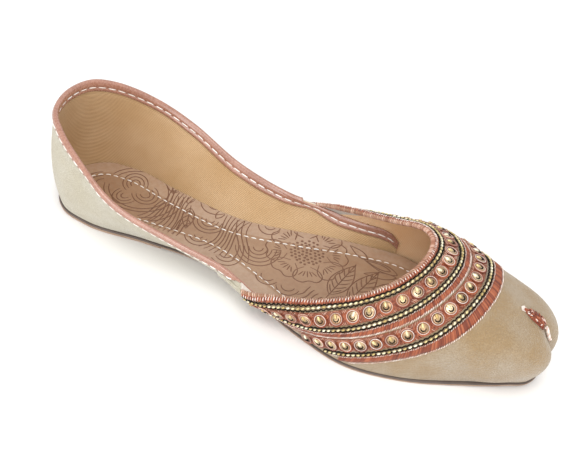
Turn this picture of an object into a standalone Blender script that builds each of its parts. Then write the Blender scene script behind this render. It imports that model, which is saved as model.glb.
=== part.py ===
# Mojari: a flat velvet slip-on shoe with an embroidered vamp, built straight, for either foot.
# The toe points to +X, the wearer's left is +Y, and the floor is z = 0. Sizes are in metres.

import math

import bmesh
import bpy
import numpy as np

# Overall sizes of the shoe
LENGTH = 0.254
BALL_WIDTH = 0.0796
WAIST_WIDTH = 0.0335
HEEL_WIDTH = 0.0460
COLLAR_WIDTH = 0.0735
HEEL_HEIGHT = 0.0565
INSTEP_HEIGHT = 0.0465

# Sole and insole
SOLE_THICKNESS = 0.0017
HEEL_LIFT = 0.0007
TOE_SPRING = 0.0016
SOLE_EDGE_ROUND = 0.0006
INSOLE_THICKNESS = 0.0022
INSOLE_MARGIN = 0.0065
INSOLE_CURL = 0.0028
INSOLE_SWELL = 0.0006
INSOLE_UNDERCUT = 0.0003

# Upper
WALL = 0.0014
EDGE_WALL = 0.0009
LAP = 0.0005
FEATHER_INSET = 0.0006
CLEARANCE = 0.0003
TAIL_DROP = 0.0032
FOOT_LEVEL = 0.0030

# Cleft of the toe. It deepens and fades over these shares of the section's height, and its
# direction is given along and up.
CLEFT_DEPTH = 0.0036
CLEFT_WIDTH = 0.0040
CLEFT_DEEPENS = (0.02, 0.14)
CLEFT_FADES = (0.38, 0.62)
CLEFT_DIRECTION = (0.88, 0.47)

# Binding folded over the collar
BINDING_THICKNESS = 0.0005
BINDING_INSIDE = 0.0056
BINDING_OUTSIDE = 0.0026
BINDING_SHARE = 0.36
THIN_RUN = 0.0022

# Embroidered trims, each given by its distance from the edge of the throat
TRIM_HEIGHT = 0.0008
THROAT_TRIM = (0.0010, 0.0058)
MIDDLE_TRIM = (0.0130, 0.0192)
OUTER_TRIM = (0.0272, 0.0350)
FOOT_MARGIN = 0.0022

# Thread fan and cord at the toe
FAN_LENGTH = 0.0110
FAN_WIDTH = 0.0050
FAN_HEIGHT = 0.0010
FAN_FROM_THROAT = 0.0585
FAN_SPREAD = 0.62
CORD_DIAMETER = 0.0018
CORD_LENGTH = 0.0072

# Half outline of the sole from the back of the heel to the toe.
# Each row: place along the length, half width as a share of the half of the named width.
SOLE_OUTLINE = [
    (0.000, 0.00, HEEL_WIDTH),
    (0.012, 0.48, HEEL_WIDTH),
    (0.047, 0.86, HEEL_WIDTH),
    (0.106, 1.00, HEEL_WIDTH),
    (0.228, 1.13, WAIST_WIDTH),
    (0.354, 1.00, WAIST_WIDTH),
    (0.464, 1.46, WAIST_WIDTH),
    (0.583, 0.88, BALL_WIDTH),
    (0.677, 1.00, BALL_WIDTH),
    (0.772, 0.88, BALL_WIDTH),
    (0.874, 0.585, BALL_WIDTH),
    (0.945, 0.335, BALL_WIDTH),
    (0.978, 0.190, BALL_WIDTH),
    (0.989, 0.00, BALL_WIDTH),
]

# Rise of the sole. Each row: place along the length, share of the heel lift, share of the toe spring.
SOLE_RISE = [
    (0.00, 1.00, 0.00),
    (0.25, 1.00, 0.00),
    (0.36, 0.80, 0.00),
    (0.50, 0.22, 0.00),
    (0.58, 0.00, 0.00),
    (0.80, 0.00, 0.00),
    (0.90, 0.00, 0.36),
    (1.00, 0.00, 1.00),
]
HEEL_BREAST = 0.26

# Sections of the upper, from the back of the heel round to the middle of the toe.
# Columns: share of the half outline where the section stands on the sole, then along, out and up
# of its swell, then along, out and up of its top edge, then how full the swell is.
# Along is a share of the length. Out and up are shares of the sizes named for each table.
QUARTER_SECTIONS = [
    (0.000, -0.010, 0.000, 0.46, 0.009, 0.000, 1.000, 1.0),
    (0.050, 0.000, 0.420, 0.46, 0.022, 0.400, 0.985, 1.0),
    (0.100, 0.042, 0.760, 0.46, 0.057, 0.640, 0.938, 1.0),
    (0.160, 0.119, 0.900, 0.46, 0.118, 0.862, 0.825, 1.0),
    (0.250, 0.212, 0.900, 0.39, 0.203, 1.015, 0.625, 1.0),
    (0.345, 0.315, 0.770, 0.23, 0.315, 0.925, 0.440, 1.0),
    (0.430, 0.413, 0.870, 0.19, 0.413, 0.885, 0.360, 1.0),
]
VAMP_SECTIONS = [
    (0.500, 0.488, 1.035, 0.300, 0.476, 0.865, 0.390, 1.0),
    (0.580, 0.582, 1.065, 0.515, 0.571, 0.850, 0.487, 1.0),
    (0.660, 0.670, 1.085, 0.630, 0.646, 0.728, 0.645, 1.0),
    (0.760, 0.764, 1.020, 0.750, 0.699, 0.565, 0.822, 1.1),
    (0.860, 0.890, 0.790, 0.715, 0.726, 0.366, 0.930, 1.5),
    (0.940, 1.020, 0.480, 0.660, 0.738, 0.185, 0.980, 1.9),
    (1.000, 1.030, 0.000, 0.690, 0.742, 0.000, 1.000, 1.9),
]

# Height of the quarter where the vamp covers it.
# Each row: share of the half outline, height above the foot of the section as a share of its throat.
QUARTER_TOP = [
    (0.485, 1.000),
    (0.500, 0.935),
    (0.520, 0.795),
    (0.545, 0.660),
    (0.580, 0.565),
    (0.620, 0.475),
    (0.640, 0.395),
    (0.656, 0.250),
]
QUARTER_END = QUARTER_TOP[-1][0]

# Places along the half outline where the vamp's tail begins, starts to rise and meets the collar,
# and where the binding's outer leg starts to fade, ends and is tucked behind the vamp.
TAIL_START = 0.425
TAIL_RISE = 0.475
TAIL_FULL = 0.565
OUTER_LEG_FADE = 0.445
OUTER_LEG_END = 0.480
TUCK_END = QUARTER_TOP[0][0]
TRIM_BEGIN = 0.484

# Colours of the materials: base colour, roughness, metallic
FINISHES = {
    "outsole": ((0.16, 0.12, 0.09, 1.0), 0.75, 0.0),
    "insole": ((0.52, 0.33, 0.20, 1.0), 0.60, 0.0),
    "upper": ((0.60, 0.46, 0.28, 1.0), 0.90, 0.0),
    "collar_binding": ((0.60, 0.26, 0.16, 1.0), 0.35, 0.0),
    "throat_trim": ((0.55, 0.18, 0.08, 1.0), 0.45, 0.2),
    "middle_trim": ((0.55, 0.20, 0.08, 1.0), 0.45, 0.2),
    "outer_trim": ((0.55, 0.18, 0.08, 1.0), 0.45, 0.2),
    "toe_fan": ((0.50, 0.14, 0.06, 1.0), 0.50, 0.2),
    "toe_cord": ((0.80, 0.66, 0.62, 1.0), 0.40, 0.3),
}


def smooth_rows(keys, values, at):
    """Value at each place of a smooth curve through the rows, which may be unevenly spaced."""
    keys = np.asarray(keys, float)
    values = np.asarray(values, float)
    step = np.diff(keys)
    slope = np.diff(values, axis=0) / step[:, None]
    tangent = np.empty_like(values)
    before, after = step[:-1, None], step[1:, None]
    tangent[1:-1] = (slope[:-1] * after + slope[1:] * before) / (before + after)
    tangent[0] = slope[0]
    tangent[-1] = slope[-1]
    at = np.atleast_1d(at)
    i = np.clip(np.searchsorted(keys, at, side="right") - 1, 0, len(step) - 1)
    h = step[i][:, None]
    x = ((at - keys[i]) / step[i])[:, None]
    return ((1 + 2 * x) * (1 - x) ** 2 * values[i] + x * (1 - x) ** 2 * h * tangent[i]
            + x ** 2 * (3 - 2 * x) * values[i + 1] + x ** 2 * (x - 1) * h * tangent[i + 1])


def mirrored(keys, rows):
    """The rows with one mirrored neighbour beyond each end, out being the second column."""
    flip = np.ones(rows.shape[1])
    flip[1::3] = -1.0
    keys = np.concatenate([[-keys[1]], keys, [2 * keys[-1] - keys[-2]]])
    return keys, np.vstack([rows[1] * flip, rows, rows[-2] * flip])


def ramp(value, start, stop):
    """0 before start, 1 after stop, and a soft change between them."""
    x = np.clip((value - start) / (stop - start), 0.0, 1.0)
    return x * x * (3 - 2 * x)


def outline_table():
    rows = np.array([(along * LENGTH, share * width / 2) for along, share, width in SOLE_OUTLINE])
    chord = np.concatenate([[0.0], np.cumsum(np.hypot(*np.diff(rows, axis=0).T))])
    return chord / chord[-1], rows


OUTLINE_KEYS, OUTLINE_ROWS = outline_table()
OUTLINE_LENGTH = float(np.sum(np.hypot(*np.diff(OUTLINE_ROWS, axis=0).T)))


def sole_point(share, inset=0.0):
    """Points of the half outline at shares of its length, moved inwards by the inset."""
    keys, rows = mirrored(OUTLINE_KEYS, OUTLINE_ROWS)
    small = 0.002
    point = smooth_rows(keys, rows, share)
    ahead = smooth_rows(keys, rows, np.asarray(share) + small)
    behind = smooth_rows(keys, rows, np.asarray(share) - small)
    run = ahead - behind
    inward = np.stack([run[:, 1], -run[:, 0]], 1) / np.hypot(run[:, 0], run[:, 1])[:, None]
    return point + inward * np.reshape(inset, (-1, 1))


def sole_rise(x):
    """Height of the sole's middle layer above the floor at each place along the shoe."""
    table = np.array(SOLE_RISE)
    along = np.clip(np.asarray(x) / LENGTH, 0.0, 1.0)
    lift = np.interp(along, table[:, 0], table[:, 1])
    spring = np.interp(along, table[:, 0], table[:, 2])
    return lift * HEEL_LIFT + spring * TOE_SPRING


def sole_top(x):
    return SOLE_THICKNESS + sole_rise(x)


def section_table():
    rows = []
    keys = []
    for table, half_width, height in ((QUARTER_SECTIONS, COLLAR_WIDTH / 2, HEEL_HEIGHT),
                                      (VAMP_SECTIONS, BALL_WIDTH / 2, INSTEP_HEIGHT)):
        for share, sx, sy, sz, ex, ey, ez, full in table:
            keys.append(share)
            rows.append((sx * LENGTH, sy * half_width, sz * height,
                         ex * LENGTH, ey * half_width, ez * height, full))
    return mirrored(np.array(keys), np.array(rows))


SECTION_KEYS, SECTION_ROWS = section_table()
COLUMN_STEPS = 28
OUTER_ROWS = 12
VAMP_ROWS = 8
QUARTER_ROWS = 5


def half_share(ring):
    """Share of the half outline, 0 at the heel and 1 at the toe, for places round both sides."""
    return 1.0 - np.abs(1.0 - np.mod(np.atleast_1d(ring), 2.0))


def body_columns(ring):
    """Columns of the upper's body surface from the sole up to its edge.

    The ring place runs from 0 at the heel to 1 at the toe along +Y and back to 2 along -Y.
    """
    ring = np.mod(np.atleast_1d(ring), 2.0)
    side = np.where(ring > 1.0, -1.0, 1.0)
    share = half_share(ring)
    row = smooth_rows(SECTION_KEYS, SECTION_ROWS, share)
    inset = FEATHER_INSET + (WALL - LAP) * ramp(share, TAIL_START - 0.10, TAIL_START)
    foot = sole_point(share, inset)
    foot = np.column_stack([foot, sole_top(foot[:, 0]) + CLEARANCE])
    swell, edge, full = row[:, 0:3], row[:, 3:6], row[:, 6]
    t = np.linspace(0.0, 1.0, COLUMN_STEPS)[None, :, None]
    full = full[:, None, None]
    bottom = (1 - t) ** 2 + 2 * full * t * (1 - t) + t ** 2
    points = ((1 - t) ** 2 * foot[:, None] + 2 * full * t * (1 - t) * swell[:, None]
              + t ** 2 * edge[:, None]) / bottom
    across = (1.0 - share) * OUTLINE_LENGTH / CLEFT_WIDTH
    height = np.linspace(0.0, 1.0, COLUMN_STEPS)
    window = ramp(height, *CLEFT_DEEPENS) * (1 - ramp(height, *CLEFT_FADES))
    depth = CLEFT_DEPTH * np.exp(-across ** 2)[:, None] * window[None, :]
    points[:, :, 0] -= depth * CLEFT_DIRECTION[0]
    points[:, :, 2] -= depth * CLEFT_DIRECTION[1]
    points[:, :, 1] *= side[:, None]
    return points


def column_lengths(ring):
    return np.linalg.norm(np.diff(body_columns(ring), axis=1), axis=2).sum(axis=1)


def body_points(ring, height):
    """Points of the body surface at heights in metres along each column from the sole."""
    columns = body_columns(ring)
    height = np.broadcast_to(height, (len(columns), np.shape(height)[-1]))
    out = np.empty(height.shape + (3,))
    for i, column in enumerate(columns):
        travel = np.concatenate([[0.0], np.cumsum(np.linalg.norm(np.diff(column, axis=0), axis=1))])
        for axis in range(3):
            out[i, :, axis] = np.interp(height[i], travel, column[:, axis])
    return out


def body_layer(ring, height, lift):
    """Points at a distance outside the body surface. The foot row stays level."""
    ring = np.atleast_1d(ring)
    height = np.broadcast_to(height, (len(ring), np.shape(height)[-1]))
    small_ring, small_height = 0.002, LAP
    length = column_lengths(ring)[:, None]
    low = np.clip(height - small_height, 0.0, length)
    high = np.clip(height + small_height, 0.0, length)
    up = body_points(ring, high) - body_points(ring, low)
    ahead_length = column_lengths(ring + small_ring)[:, None]
    behind_length = column_lengths(ring - small_ring)[:, None]
    ahead = body_points(ring + small_ring, height / length * ahead_length)
    behind = body_points(ring - small_ring, height / length * behind_length)
    normal = np.cross(up, ahead - behind)
    normal /= np.linalg.norm(normal, axis=2, keepdims=True)
    level = 1.0 - ramp(height, 0.0, FOOT_LEVEL)
    flat = normal.copy()
    flat[:, :, 2] = 0.0
    flat /= np.maximum((flat ** 2).sum(axis=2, keepdims=True), 0.3)
    normal = normal * (1 - level[..., None]) + flat * level[..., None]
    lift = np.reshape(lift, (-1, 1)) if np.ndim(lift) < 2 else lift
    return body_points(ring, height) + normal * np.broadcast_to(lift, height.shape)[..., None]


def inner_leg(height):
    """Length of the binding's inner leg, which is shorter where the quarter is low."""
    return np.minimum(BINDING_INSIDE, BINDING_SHARE * height)


def quarter_height(ring):
    """Height of the quarter's top edge above the sole, along each column."""
    table = np.array(QUARTER_TOP)
    return column_lengths(ring) * np.interp(half_share(ring), table[:, 0], table[:, 1])


def vamp_height(ring):
    """Height of the vamp's edge above the sole. Its tails stay below the collar."""
    return column_lengths(ring) - TAIL_DROP * (1 - ramp(half_share(ring), TAIL_RISE, TAIL_FULL))


def new_collection(name):
    collection = bpy.data.collections.new(name)
    bpy.context.scene.collection.children.link(collection)
    return collection


def make_material(name):
    colour, roughness, metallic = FINISHES[name]
    material = bpy.data.materials.new(name)
    material.use_nodes = True
    shader = material.node_tree.nodes["Principled BSDF"]
    shader.inputs["Base Color"].default_value = colour
    shader.inputs["Roughness"].default_value = roughness
    shader.inputs["Metallic"].default_value = metallic
    return material


def add_object(name, vertices, faces, collection, sharp=50.0):
    """A closed object from its vertices and faces, facing outwards and shaded smooth."""
    mesh = bpy.data.meshes.new(name)
    mesh.from_pydata([tuple(v) for v in vertices], [], faces)
    work = bmesh.new()
    work.from_mesh(mesh)
    bmesh.ops.remove_doubles(work, verts=work.verts, dist=0.00001)
    bmesh.ops.recalc_face_normals(work, faces=work.faces)
    work.to_mesh(mesh)
    work.free()
    mesh.shade_smooth()
    mesh.set_sharp_from_angle(angle=math.radians(sharp))
    item = bpy.data.objects.new(name, mesh)
    mesh.materials.append(make_material(name))
    collection.objects.link(item)
    return item


def tube_faces(rings, closed, turned=False):
    """Triangles of a loft of rings, split the same way on both sides of the shoe."""
    rows, around = rings.shape[:2]
    faces = []
    for i in range(rows if closed else rows - 1):
        j = (i + 1) % rows
        other_way = (rings[i, :, 1].mean() + rings[j, :, 1].mean() < 0.0) != turned
        for k in range(around):
            m = (k + 1) % around
            a, b, c, d = i * around + k, i * around + m, j * around + m, j * around + k
            faces.extend([(a, b, d), (b, c, d)] if other_way else [(a, b, c), (a, c, d)])
    if not closed:
        faces.append(tuple(range(around)))
        faces.append(tuple(reversed(range((rows - 1) * around, rows * around))))
    return faces


def add_sheet(name, outer, inner, collection):
    """A wall between an outer and an inner grid of points: one ring of points for each column."""
    rings = np.concatenate([outer, inner[:, ::-1]], axis=1)
    faces = tube_faces(rings, False)[:-2] + end_faces(rings)
    return add_object(name, rings.reshape(-1, 3), faces, collection)


def end_faces(rings):
    """Strips of quads that close the first and the last ring of a wall."""
    around = rings.shape[1]
    faces = []
    for start in (0, (len(rings) - 1) * around):
        for k in range(around // 2 - 1):
            faces.append((start + k, start + k + 1, start + around - 2 - k, start + around - 1 - k))
    return faces


def add_outsole(collection):
    """The sole: a flat heel, a raised waist, a flat forefoot and a lifted toe."""
    shares = np.unique(np.concatenate([np.linspace(0, 0.15, 10), np.linspace(0.15, 0.9, 24),
                                       np.linspace(0.9, 1.0, 9)]))
    breast = np.interp(HEEL_BREAST * LENGTH, sole_point(shares)[:, 0], shares)
    shares = np.sort(np.append(shares, [breast, breast]))
    on_heel = np.arange(len(shares)) <= np.searchsorted(shares, breast)
    vertices = []
    profile = ((SOLE_EDGE_ROUND, 1.0, 0.0), (0.0, 1.0, -SOLE_EDGE_ROUND),
               (0.0, 0.0, SOLE_EDGE_ROUND), (SOLE_EDGE_ROUND, 0.0, 0.0))
    for inset, at_top, shift in profile:
        outline = sole_point(shares, np.full(len(shares), inset))
        outline[[0, -1], 1] = 0.0
        middle = sole_point(shares)[:, 0]
        under = np.where(on_heel, 0.0, sole_rise(middle))
        height = np.where(at_top > 0.5, sole_top(middle), under) + shift
        vertices.append(np.column_stack([outline, height]))
    grid = np.stack(vertices, axis=1)
    rings = np.concatenate([grid, grid[:, ::-1] * np.array([1.0, -1.0, 1.0])], axis=1)
    faces = tube_faces(rings, False)[:-2] + end_faces(rings)
    return add_object("outsole", rings.reshape(-1, 3), faces, collection, sharp=35.0)


def add_insole(collection):
    """The sock: flat inside its stitched line, with a margin that curls up the wall."""
    shares = np.unique(np.concatenate([np.linspace(0, 0.15, 9), np.linspace(0.15, 0.88, 22),
                                       np.linspace(0.88, 1.0, 8)]))
    count = len(shares)
    room = FEATHER_INSET + 2.0 * WALL + 2.6 * CLEARANCE
    inside = -(WALL + 2.0 * CLEARANCE)
    crest = body_layer(shares, np.full((count, 1), INSOLE_CURL), inside)[:, 0]
    under = body_layer(shares, np.full((count, 1), INSOLE_CURL - 0.6 * INSOLE_THICKNESS), inside)[:, 0]
    upper_side = [flat_ring(shares, room + INSOLE_MARGIN, INSOLE_THICKNESS),
                  flat_ring(shares, room + 0.4 * INSOLE_MARGIN, INSOLE_THICKNESS + INSOLE_SWELL)]
    lower_side = [flat_ring(shares, room + 0.3 * INSOLE_MARGIN, INSOLE_UNDERCUT),
                  flat_ring(shares, room + INSOLE_MARGIN, 0.0)]
    grid = np.stack(upper_side + [crest, under] + lower_side, axis=1)
    grid[[0, -1], :, 1] = 0.0
    rings = np.concatenate([grid, grid[:, ::-1] * np.array([1.0, -1.0, 1.0])], axis=1)
    faces = tube_faces(rings, False)[:-2] + end_faces(rings)
    return add_object("insole", rings.reshape(-1, 3), faces, collection)


def flat_ring(shares, inset, height):
    """Points of the half outline moved inwards, at a height above the sole."""
    outline = sole_point(shares, np.full(len(shares), inset))
    outline[:, 1] = np.maximum(outline[:, 1], 0.0)
    return np.column_stack([outline, sole_top(outline[:, 0]) + CLEARANCE + height])


def spread(start, *stops):
    """Places from the start through each stop, in the number of even steps given with it."""
    places = [start]
    for stop, count in stops:
        places.extend(np.linspace(places[-1], stop, count + 1)[1:])
    return np.array(places)


HEEL_PLACES = spread(0.0, (0.06, 5), (0.16, 6), (TAIL_START, 9))
LAP_PLACES = spread(TAIL_START, (OUTER_LEG_FADE, 2), (OUTER_LEG_END, 4), (TUCK_END, 1), (TAIL_FULL, 5),
                    (0.64, 4), (QUARTER_END, 2))
TOE_PLACES = spread(QUARTER_END, (0.86, 9), (0.94, 5), (0.98, 4), (1.0, 4))
HALF_QUARTER = np.concatenate([HEEL_PLACES, LAP_PLACES[1:]])
HALF_VAMP = np.concatenate([LAP_PLACES, TOE_PLACES[1:]])
QUARTER_PLACES = np.concatenate([-HALF_QUARTER[:0:-1], HALF_QUARTER])
VAMP_PLACES = np.concatenate([HALF_VAMP, 2.0 - HALF_VAMP[-2::-1]])


def wall_section(ring, has_quarter, has_vamp):
    """One ring of points round the wall for each place: up the outside, over the edge, down the inside.

    Where the vamp laps over the quarter the wall steps out at the vamp's edge and in at the quarter's.
    """
    vamp, quarter = vamp_height(ring), quarter_height(ring)
    top = np.where(has_vamp, np.maximum(vamp, quarter), quarter)
    outside = np.where(has_vamp, WALL - LAP, 0.0)
    inside = np.where(has_quarter, -WALL, -LAP)
    thinned = np.where(has_quarter, -EDGE_WALL, -LAP)
    thin = quarter - inner_leg(quarter)
    points = [(vamp * k / OUTER_ROWS, outside) for k in range(OUTER_ROWS + 1)]
    points += [(vamp, 0.0 * outside), (top, 0.0 * outside)]
    points += [(top + (quarter - top) * k / VAMP_ROWS, 0.0 * outside - LAP) for k in range(VAMP_ROWS + 1)]
    points += [(quarter, thinned), (thin, thinned)]
    points += [((thin - THIN_RUN) * (1 - k / QUARTER_ROWS), inside) for k in range(QUARTER_ROWS + 1)]
    heights = np.stack([height for height, lift in points], axis=1)
    lifts = np.stack([lift for height, lift in points], axis=1)
    return body_layer(ring, heights, lifts)


def add_upper(collection):
    """Quarter and vamp as one hollow wall, stepped where the vamp laps over the quarter."""
    half = np.concatenate([HEEL_PLACES, LAP_PLACES, TOE_PLACES])
    kind = np.repeat([0, 1, 2], [len(HEEL_PLACES), len(LAP_PLACES), len(TOE_PLACES)])
    ring = np.concatenate([half, 2.0 - half[-2:0:-1]])
    kind = np.concatenate([kind, kind[-2:0:-1]])
    section = wall_section(ring, kind < 2, kind > 0)
    return add_object("upper", section.reshape(-1, 3), tube_faces(section, True), collection)


def add_binding(collection):
    """Leather folded over the quarter's top edge. Its outer leg ends where the vamp begins."""
    ring = QUARTER_PLACES
    share = half_share(ring)
    height = quarter_height(ring)
    fade = ramp(share, OUTER_LEG_FADE, OUTER_LEG_END)
    tuck = ramp(share, OUTER_LEG_END, TUCK_END)
    inner, outer = inner_leg(height), BINDING_OUTSIDE * (1 - fade)
    near, far = CLEARANCE, CLEARANCE + BINDING_THICKNESS
    tucked = -LAP - 1.2 * CLEARANCE
    outer_far = far * (1 - tuck) + tucked * tuck
    outer_near = near * (1 - tuck) + (tucked - 0.4 * CLEARANCE) * tuck
    inner_near = -EDGE_WALL - near
    inner_far = -EDGE_WALL - far
    top = body_layer(ring, height[:, None], 0.0)[:, 0]
    below = body_layer(ring, height[:, None] - WALL, 0.0)[:, 0]
    rise = (top - below) / np.linalg.norm(top - below, axis=1, keepdims=True)

    def at(drop, lift, up):
        point = body_layer(ring, (height - drop)[:, None], lift)[:, 0]
        return point + rise * np.reshape(up, (-1, 1))

    section = [
        at(outer, outer_near, near * fade),
        at(outer, outer_far, near * fade),
        at(0.0, outer_far, near),
        at(0.0, 0.7 * outer_far + 0.3 * inner_far, 0.95 * far),
        at(0.0, 0.3 * outer_far + 0.7 * inner_far, 0.95 * far),
        at(0.0, inner_far, near),
        at(inner, inner_far, 0.0),
        at(inner, inner_near, 0.0),
        at(0.0, inner_near, near),
        at(0.0, outer_near, near),
    ]
    rings = np.stack(section, axis=1)
    faces = tube_faces(rings, False, turned=True)
    return add_object("collar_binding", rings.reshape(-1, 3), faces, collection)


def add_trim(name, span, collection):
    """A raised band of embroidery between two distances from the throat, cut off at the sole."""
    start, stop = span
    room = vamp_height(VAMP_PLACES) - start - FOOT_MARGIN
    ring = VAMP_PLACES[(room > WALL) & (np.abs(VAMP_PLACES - 1.0) < 1.0 - TRIM_BEGIN)]
    height = vamp_height(ring)
    high = height - start
    low = np.maximum(height - stop, FOOT_MARGIN)
    steps = np.linspace(0.0, 1.0, 3)[None, :]
    heights = low[:, None] * (1 - steps) + high[:, None] * steps
    base = WALL - LAP + CLEARANCE
    crown = np.array([0.35, 1.0, 0.35])
    outer = np.stack([body_layer(ring, heights[:, k:k + 1], base + TRIM_HEIGHT * crown[k])[:, 0]
                      for k in range(3)], axis=1)
    return add_sheet(name, outer, body_layer(ring, heights, base), collection)


def toe_frame(height):
    """Point and outward direction on the toe's middle line."""
    ring = np.array([1.0])
    place = np.array([[height]])
    point = body_layer(ring, place, WALL - LAP)[0, 0]
    outward = body_layer(ring, place, 2 * WALL)[0, 0] - point
    return point, outward / np.linalg.norm(outward)


def add_toe_fan(collection):
    """A fan of thread on top of the toe, wide in front, lying on the vamp."""
    length = column_lengths(np.array([1.0]))[0]
    front = length - FAN_FROM_THROAT
    steps = np.linspace(0.0, 1.0, 7)
    width = FAN_WIDTH * (0.12 + 0.88 * np.sin(math.pi * (0.02 + 0.70 * (1 - steps))))
    across = np.linspace(-1.0, 1.0, 5)
    outer, inner = [], []
    for step, wide in zip(steps, width):
        ring = 1.0 + across * wide / 2 / (OUTLINE_LENGTH * FAN_SPREAD)
        place = np.full((len(ring), 1), front + step * FAN_LENGTH)
        crown = 0.35 + 0.65 * (1 - across ** 2) * math.sin(math.pi * (0.12 + 0.76 * step))
        base = WALL - LAP + CLEARANCE
        outer.append(body_layer(ring, place, base + FAN_HEIGHT * crown)[:, 0])
        inner.append(body_layer(ring, place, base)[:, 0])
    return add_sheet("toe_fan", np.array(outer), np.array(inner), collection)


def add_toe_cord(collection):
    """A short thread cord that runs from the fan over the edge into the cleft."""
    length = column_lengths(np.array([1.0]))[0]
    top = length - FAN_FROM_THROAT - 2 * CLEARANCE
    curve = bpy.data.curves.new("toe_cord_path", "CURVE")
    curve.dimensions = "3D"
    curve.bevel_depth = CORD_DIAMETER / 2
    curve.bevel_resolution = 2
    curve.use_fill_caps = True
    line = curve.splines.new("POLY")
    count = 8
    line.points.add(count - 1)
    for k in range(count):
        height = top - CORD_LENGTH * k / (count - 1)
        point, outward = toe_frame(height)
        point = point + outward * (CORD_DIAMETER / 2 + 1.5 * CLEARANCE)
        line.points[k].co = (*point, 1.0)
    path = bpy.data.objects.new("toe_cord_path", curve)
    collection.objects.link(path)
    bpy.context.view_layer.update()
    evaluated = path.evaluated_get(bpy.context.evaluated_depsgraph_get())
    mesh = bpy.data.meshes.new_from_object(evaluated)
    vertices = [v.co.copy() for v in mesh.vertices]
    faces = [tuple(p.vertices) for p in mesh.polygons]
    bpy.data.objects.remove(path)
    return add_object("toe_cord", vertices, faces, collection)


def stand_on_origin(objects):
    """Move every piece so that the middle of the shoe's box stands over the origin."""
    reach = [v.co.x for item in objects for v in item.data.vertices]
    middle = (min(reach) + max(reach)) / 2
    for item in objects:
        for vertex in item.data.vertices:
            vertex.co.x -= middle


def main():
    for item in list(bpy.data.objects):
        bpy.data.objects.remove(item)
    shoe = new_collection("mojari_shoe")
    add_outsole(shoe)
    add_insole(shoe)
    add_upper(shoe)
    add_binding(shoe)
    add_trim("throat_trim", THROAT_TRIM, shoe)
    add_trim("middle_trim", MIDDLE_TRIM, shoe)
    add_trim("outer_trim", OUTER_TRIM, shoe)
    add_toe_fan(shoe)
    add_toe_cord(shoe)
    stand_on_origin(list(shoe.objects))


main()
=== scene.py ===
import math

import bmesh
import bpy
import numpy as np
from mathutils import Matrix, Vector
from mathutils.bvhtree import BVHTree


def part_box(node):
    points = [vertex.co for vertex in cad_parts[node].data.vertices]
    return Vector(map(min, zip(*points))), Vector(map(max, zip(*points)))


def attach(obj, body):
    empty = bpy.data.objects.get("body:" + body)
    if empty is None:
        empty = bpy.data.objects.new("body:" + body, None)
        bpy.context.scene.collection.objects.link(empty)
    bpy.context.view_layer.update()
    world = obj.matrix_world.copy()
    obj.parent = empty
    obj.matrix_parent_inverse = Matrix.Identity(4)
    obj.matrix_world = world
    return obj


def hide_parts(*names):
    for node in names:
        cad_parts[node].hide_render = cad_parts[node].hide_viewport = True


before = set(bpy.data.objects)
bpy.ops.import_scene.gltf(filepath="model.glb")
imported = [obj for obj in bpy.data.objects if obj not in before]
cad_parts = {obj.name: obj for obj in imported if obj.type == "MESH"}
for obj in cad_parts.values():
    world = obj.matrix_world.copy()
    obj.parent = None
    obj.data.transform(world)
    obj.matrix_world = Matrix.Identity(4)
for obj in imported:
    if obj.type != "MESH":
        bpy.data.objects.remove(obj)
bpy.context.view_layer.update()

HEEL_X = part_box("outsole")[0].x
random = np.random.default_rng(11)

# Sizes of the shoe in metres, from the same tables as its solids
LENGTH = 0.254
BALL_WIDTH = 0.0796
WAIST_WIDTH = 0.0335
HEEL_WIDTH = 0.0460
COLLAR_WIDTH = 0.0735
HEEL_HEIGHT = 0.0565
INSTEP_HEIGHT = 0.0465
SOLE_THICKNESS = 0.0017
HEEL_LIFT = 0.0007
TOE_SPRING = 0.0016
INSOLE_THICKNESS = 0.0022
INSOLE_MARGIN = 0.0065
INSOLE_CURL = 0.0028
WALL = 0.0014
EDGE_WALL = 0.0009
LAP = 0.0005
FEATHER_INSET = 0.0006
CLEARANCE = 0.0003
TAIL_DROP = 0.0032
CLEFT_DEPTH = 0.0036
CLEFT_WIDTH = 0.0040
BINDING_THICKNESS = 0.0005
BINDING_INSIDE = 0.0056
BINDING_OUTSIDE = 0.0026
THIN_RUN = 0.0022
FOOT_MARGIN = 0.0022
FAN_LENGTH = 0.0110
FAN_WIDTH = 0.0050
FAN_FROM_THROAT = 0.0585
CORD_DIAMETER = 0.0018
CORD_LENGTH = 0.0072
HEEL_BREAST = 0.26
OUT = WALL - LAP
FACING_WIDTH = 0.0056
INSOLE_ROOM = FEATHER_INSET + 2.0 * WALL + 2.6 * CLEARANCE
# Stitch lines of the binding, as shares of its outer and inner leg
OUTER_STITCH, INNER_STITCH = 0.74, 0.55

# place along the length, half width as a share of half the named width
SOLE_OUTLINE = [
    (0.000, 0.00, HEEL_WIDTH), (0.012, 0.48, HEEL_WIDTH), (0.047, 0.86, HEEL_WIDTH),
    (0.106, 1.00, HEEL_WIDTH), (0.228, 1.13, WAIST_WIDTH), (0.354, 1.00, WAIST_WIDTH),
    (0.464, 1.46, WAIST_WIDTH), (0.583, 0.88, BALL_WIDTH), (0.677, 1.00, BALL_WIDTH),
    (0.772, 0.88, BALL_WIDTH), (0.874, 0.585, BALL_WIDTH), (0.945, 0.335, BALL_WIDTH),
    (0.978, 0.190, BALL_WIDTH), (0.989, 0.00, BALL_WIDTH),
]
# place along the length, share of the heel lift, share of the toe spring
SOLE_RISE = [
    (0.00, 1.00, 0.00), (0.25, 1.00, 0.00), (0.36, 0.80, 0.00), (0.50, 0.22, 0.00),
    (0.58, 0.00, 0.00), (0.80, 0.00, 0.00), (0.90, 0.00, 0.36), (1.00, 0.00, 1.00),
]
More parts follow.
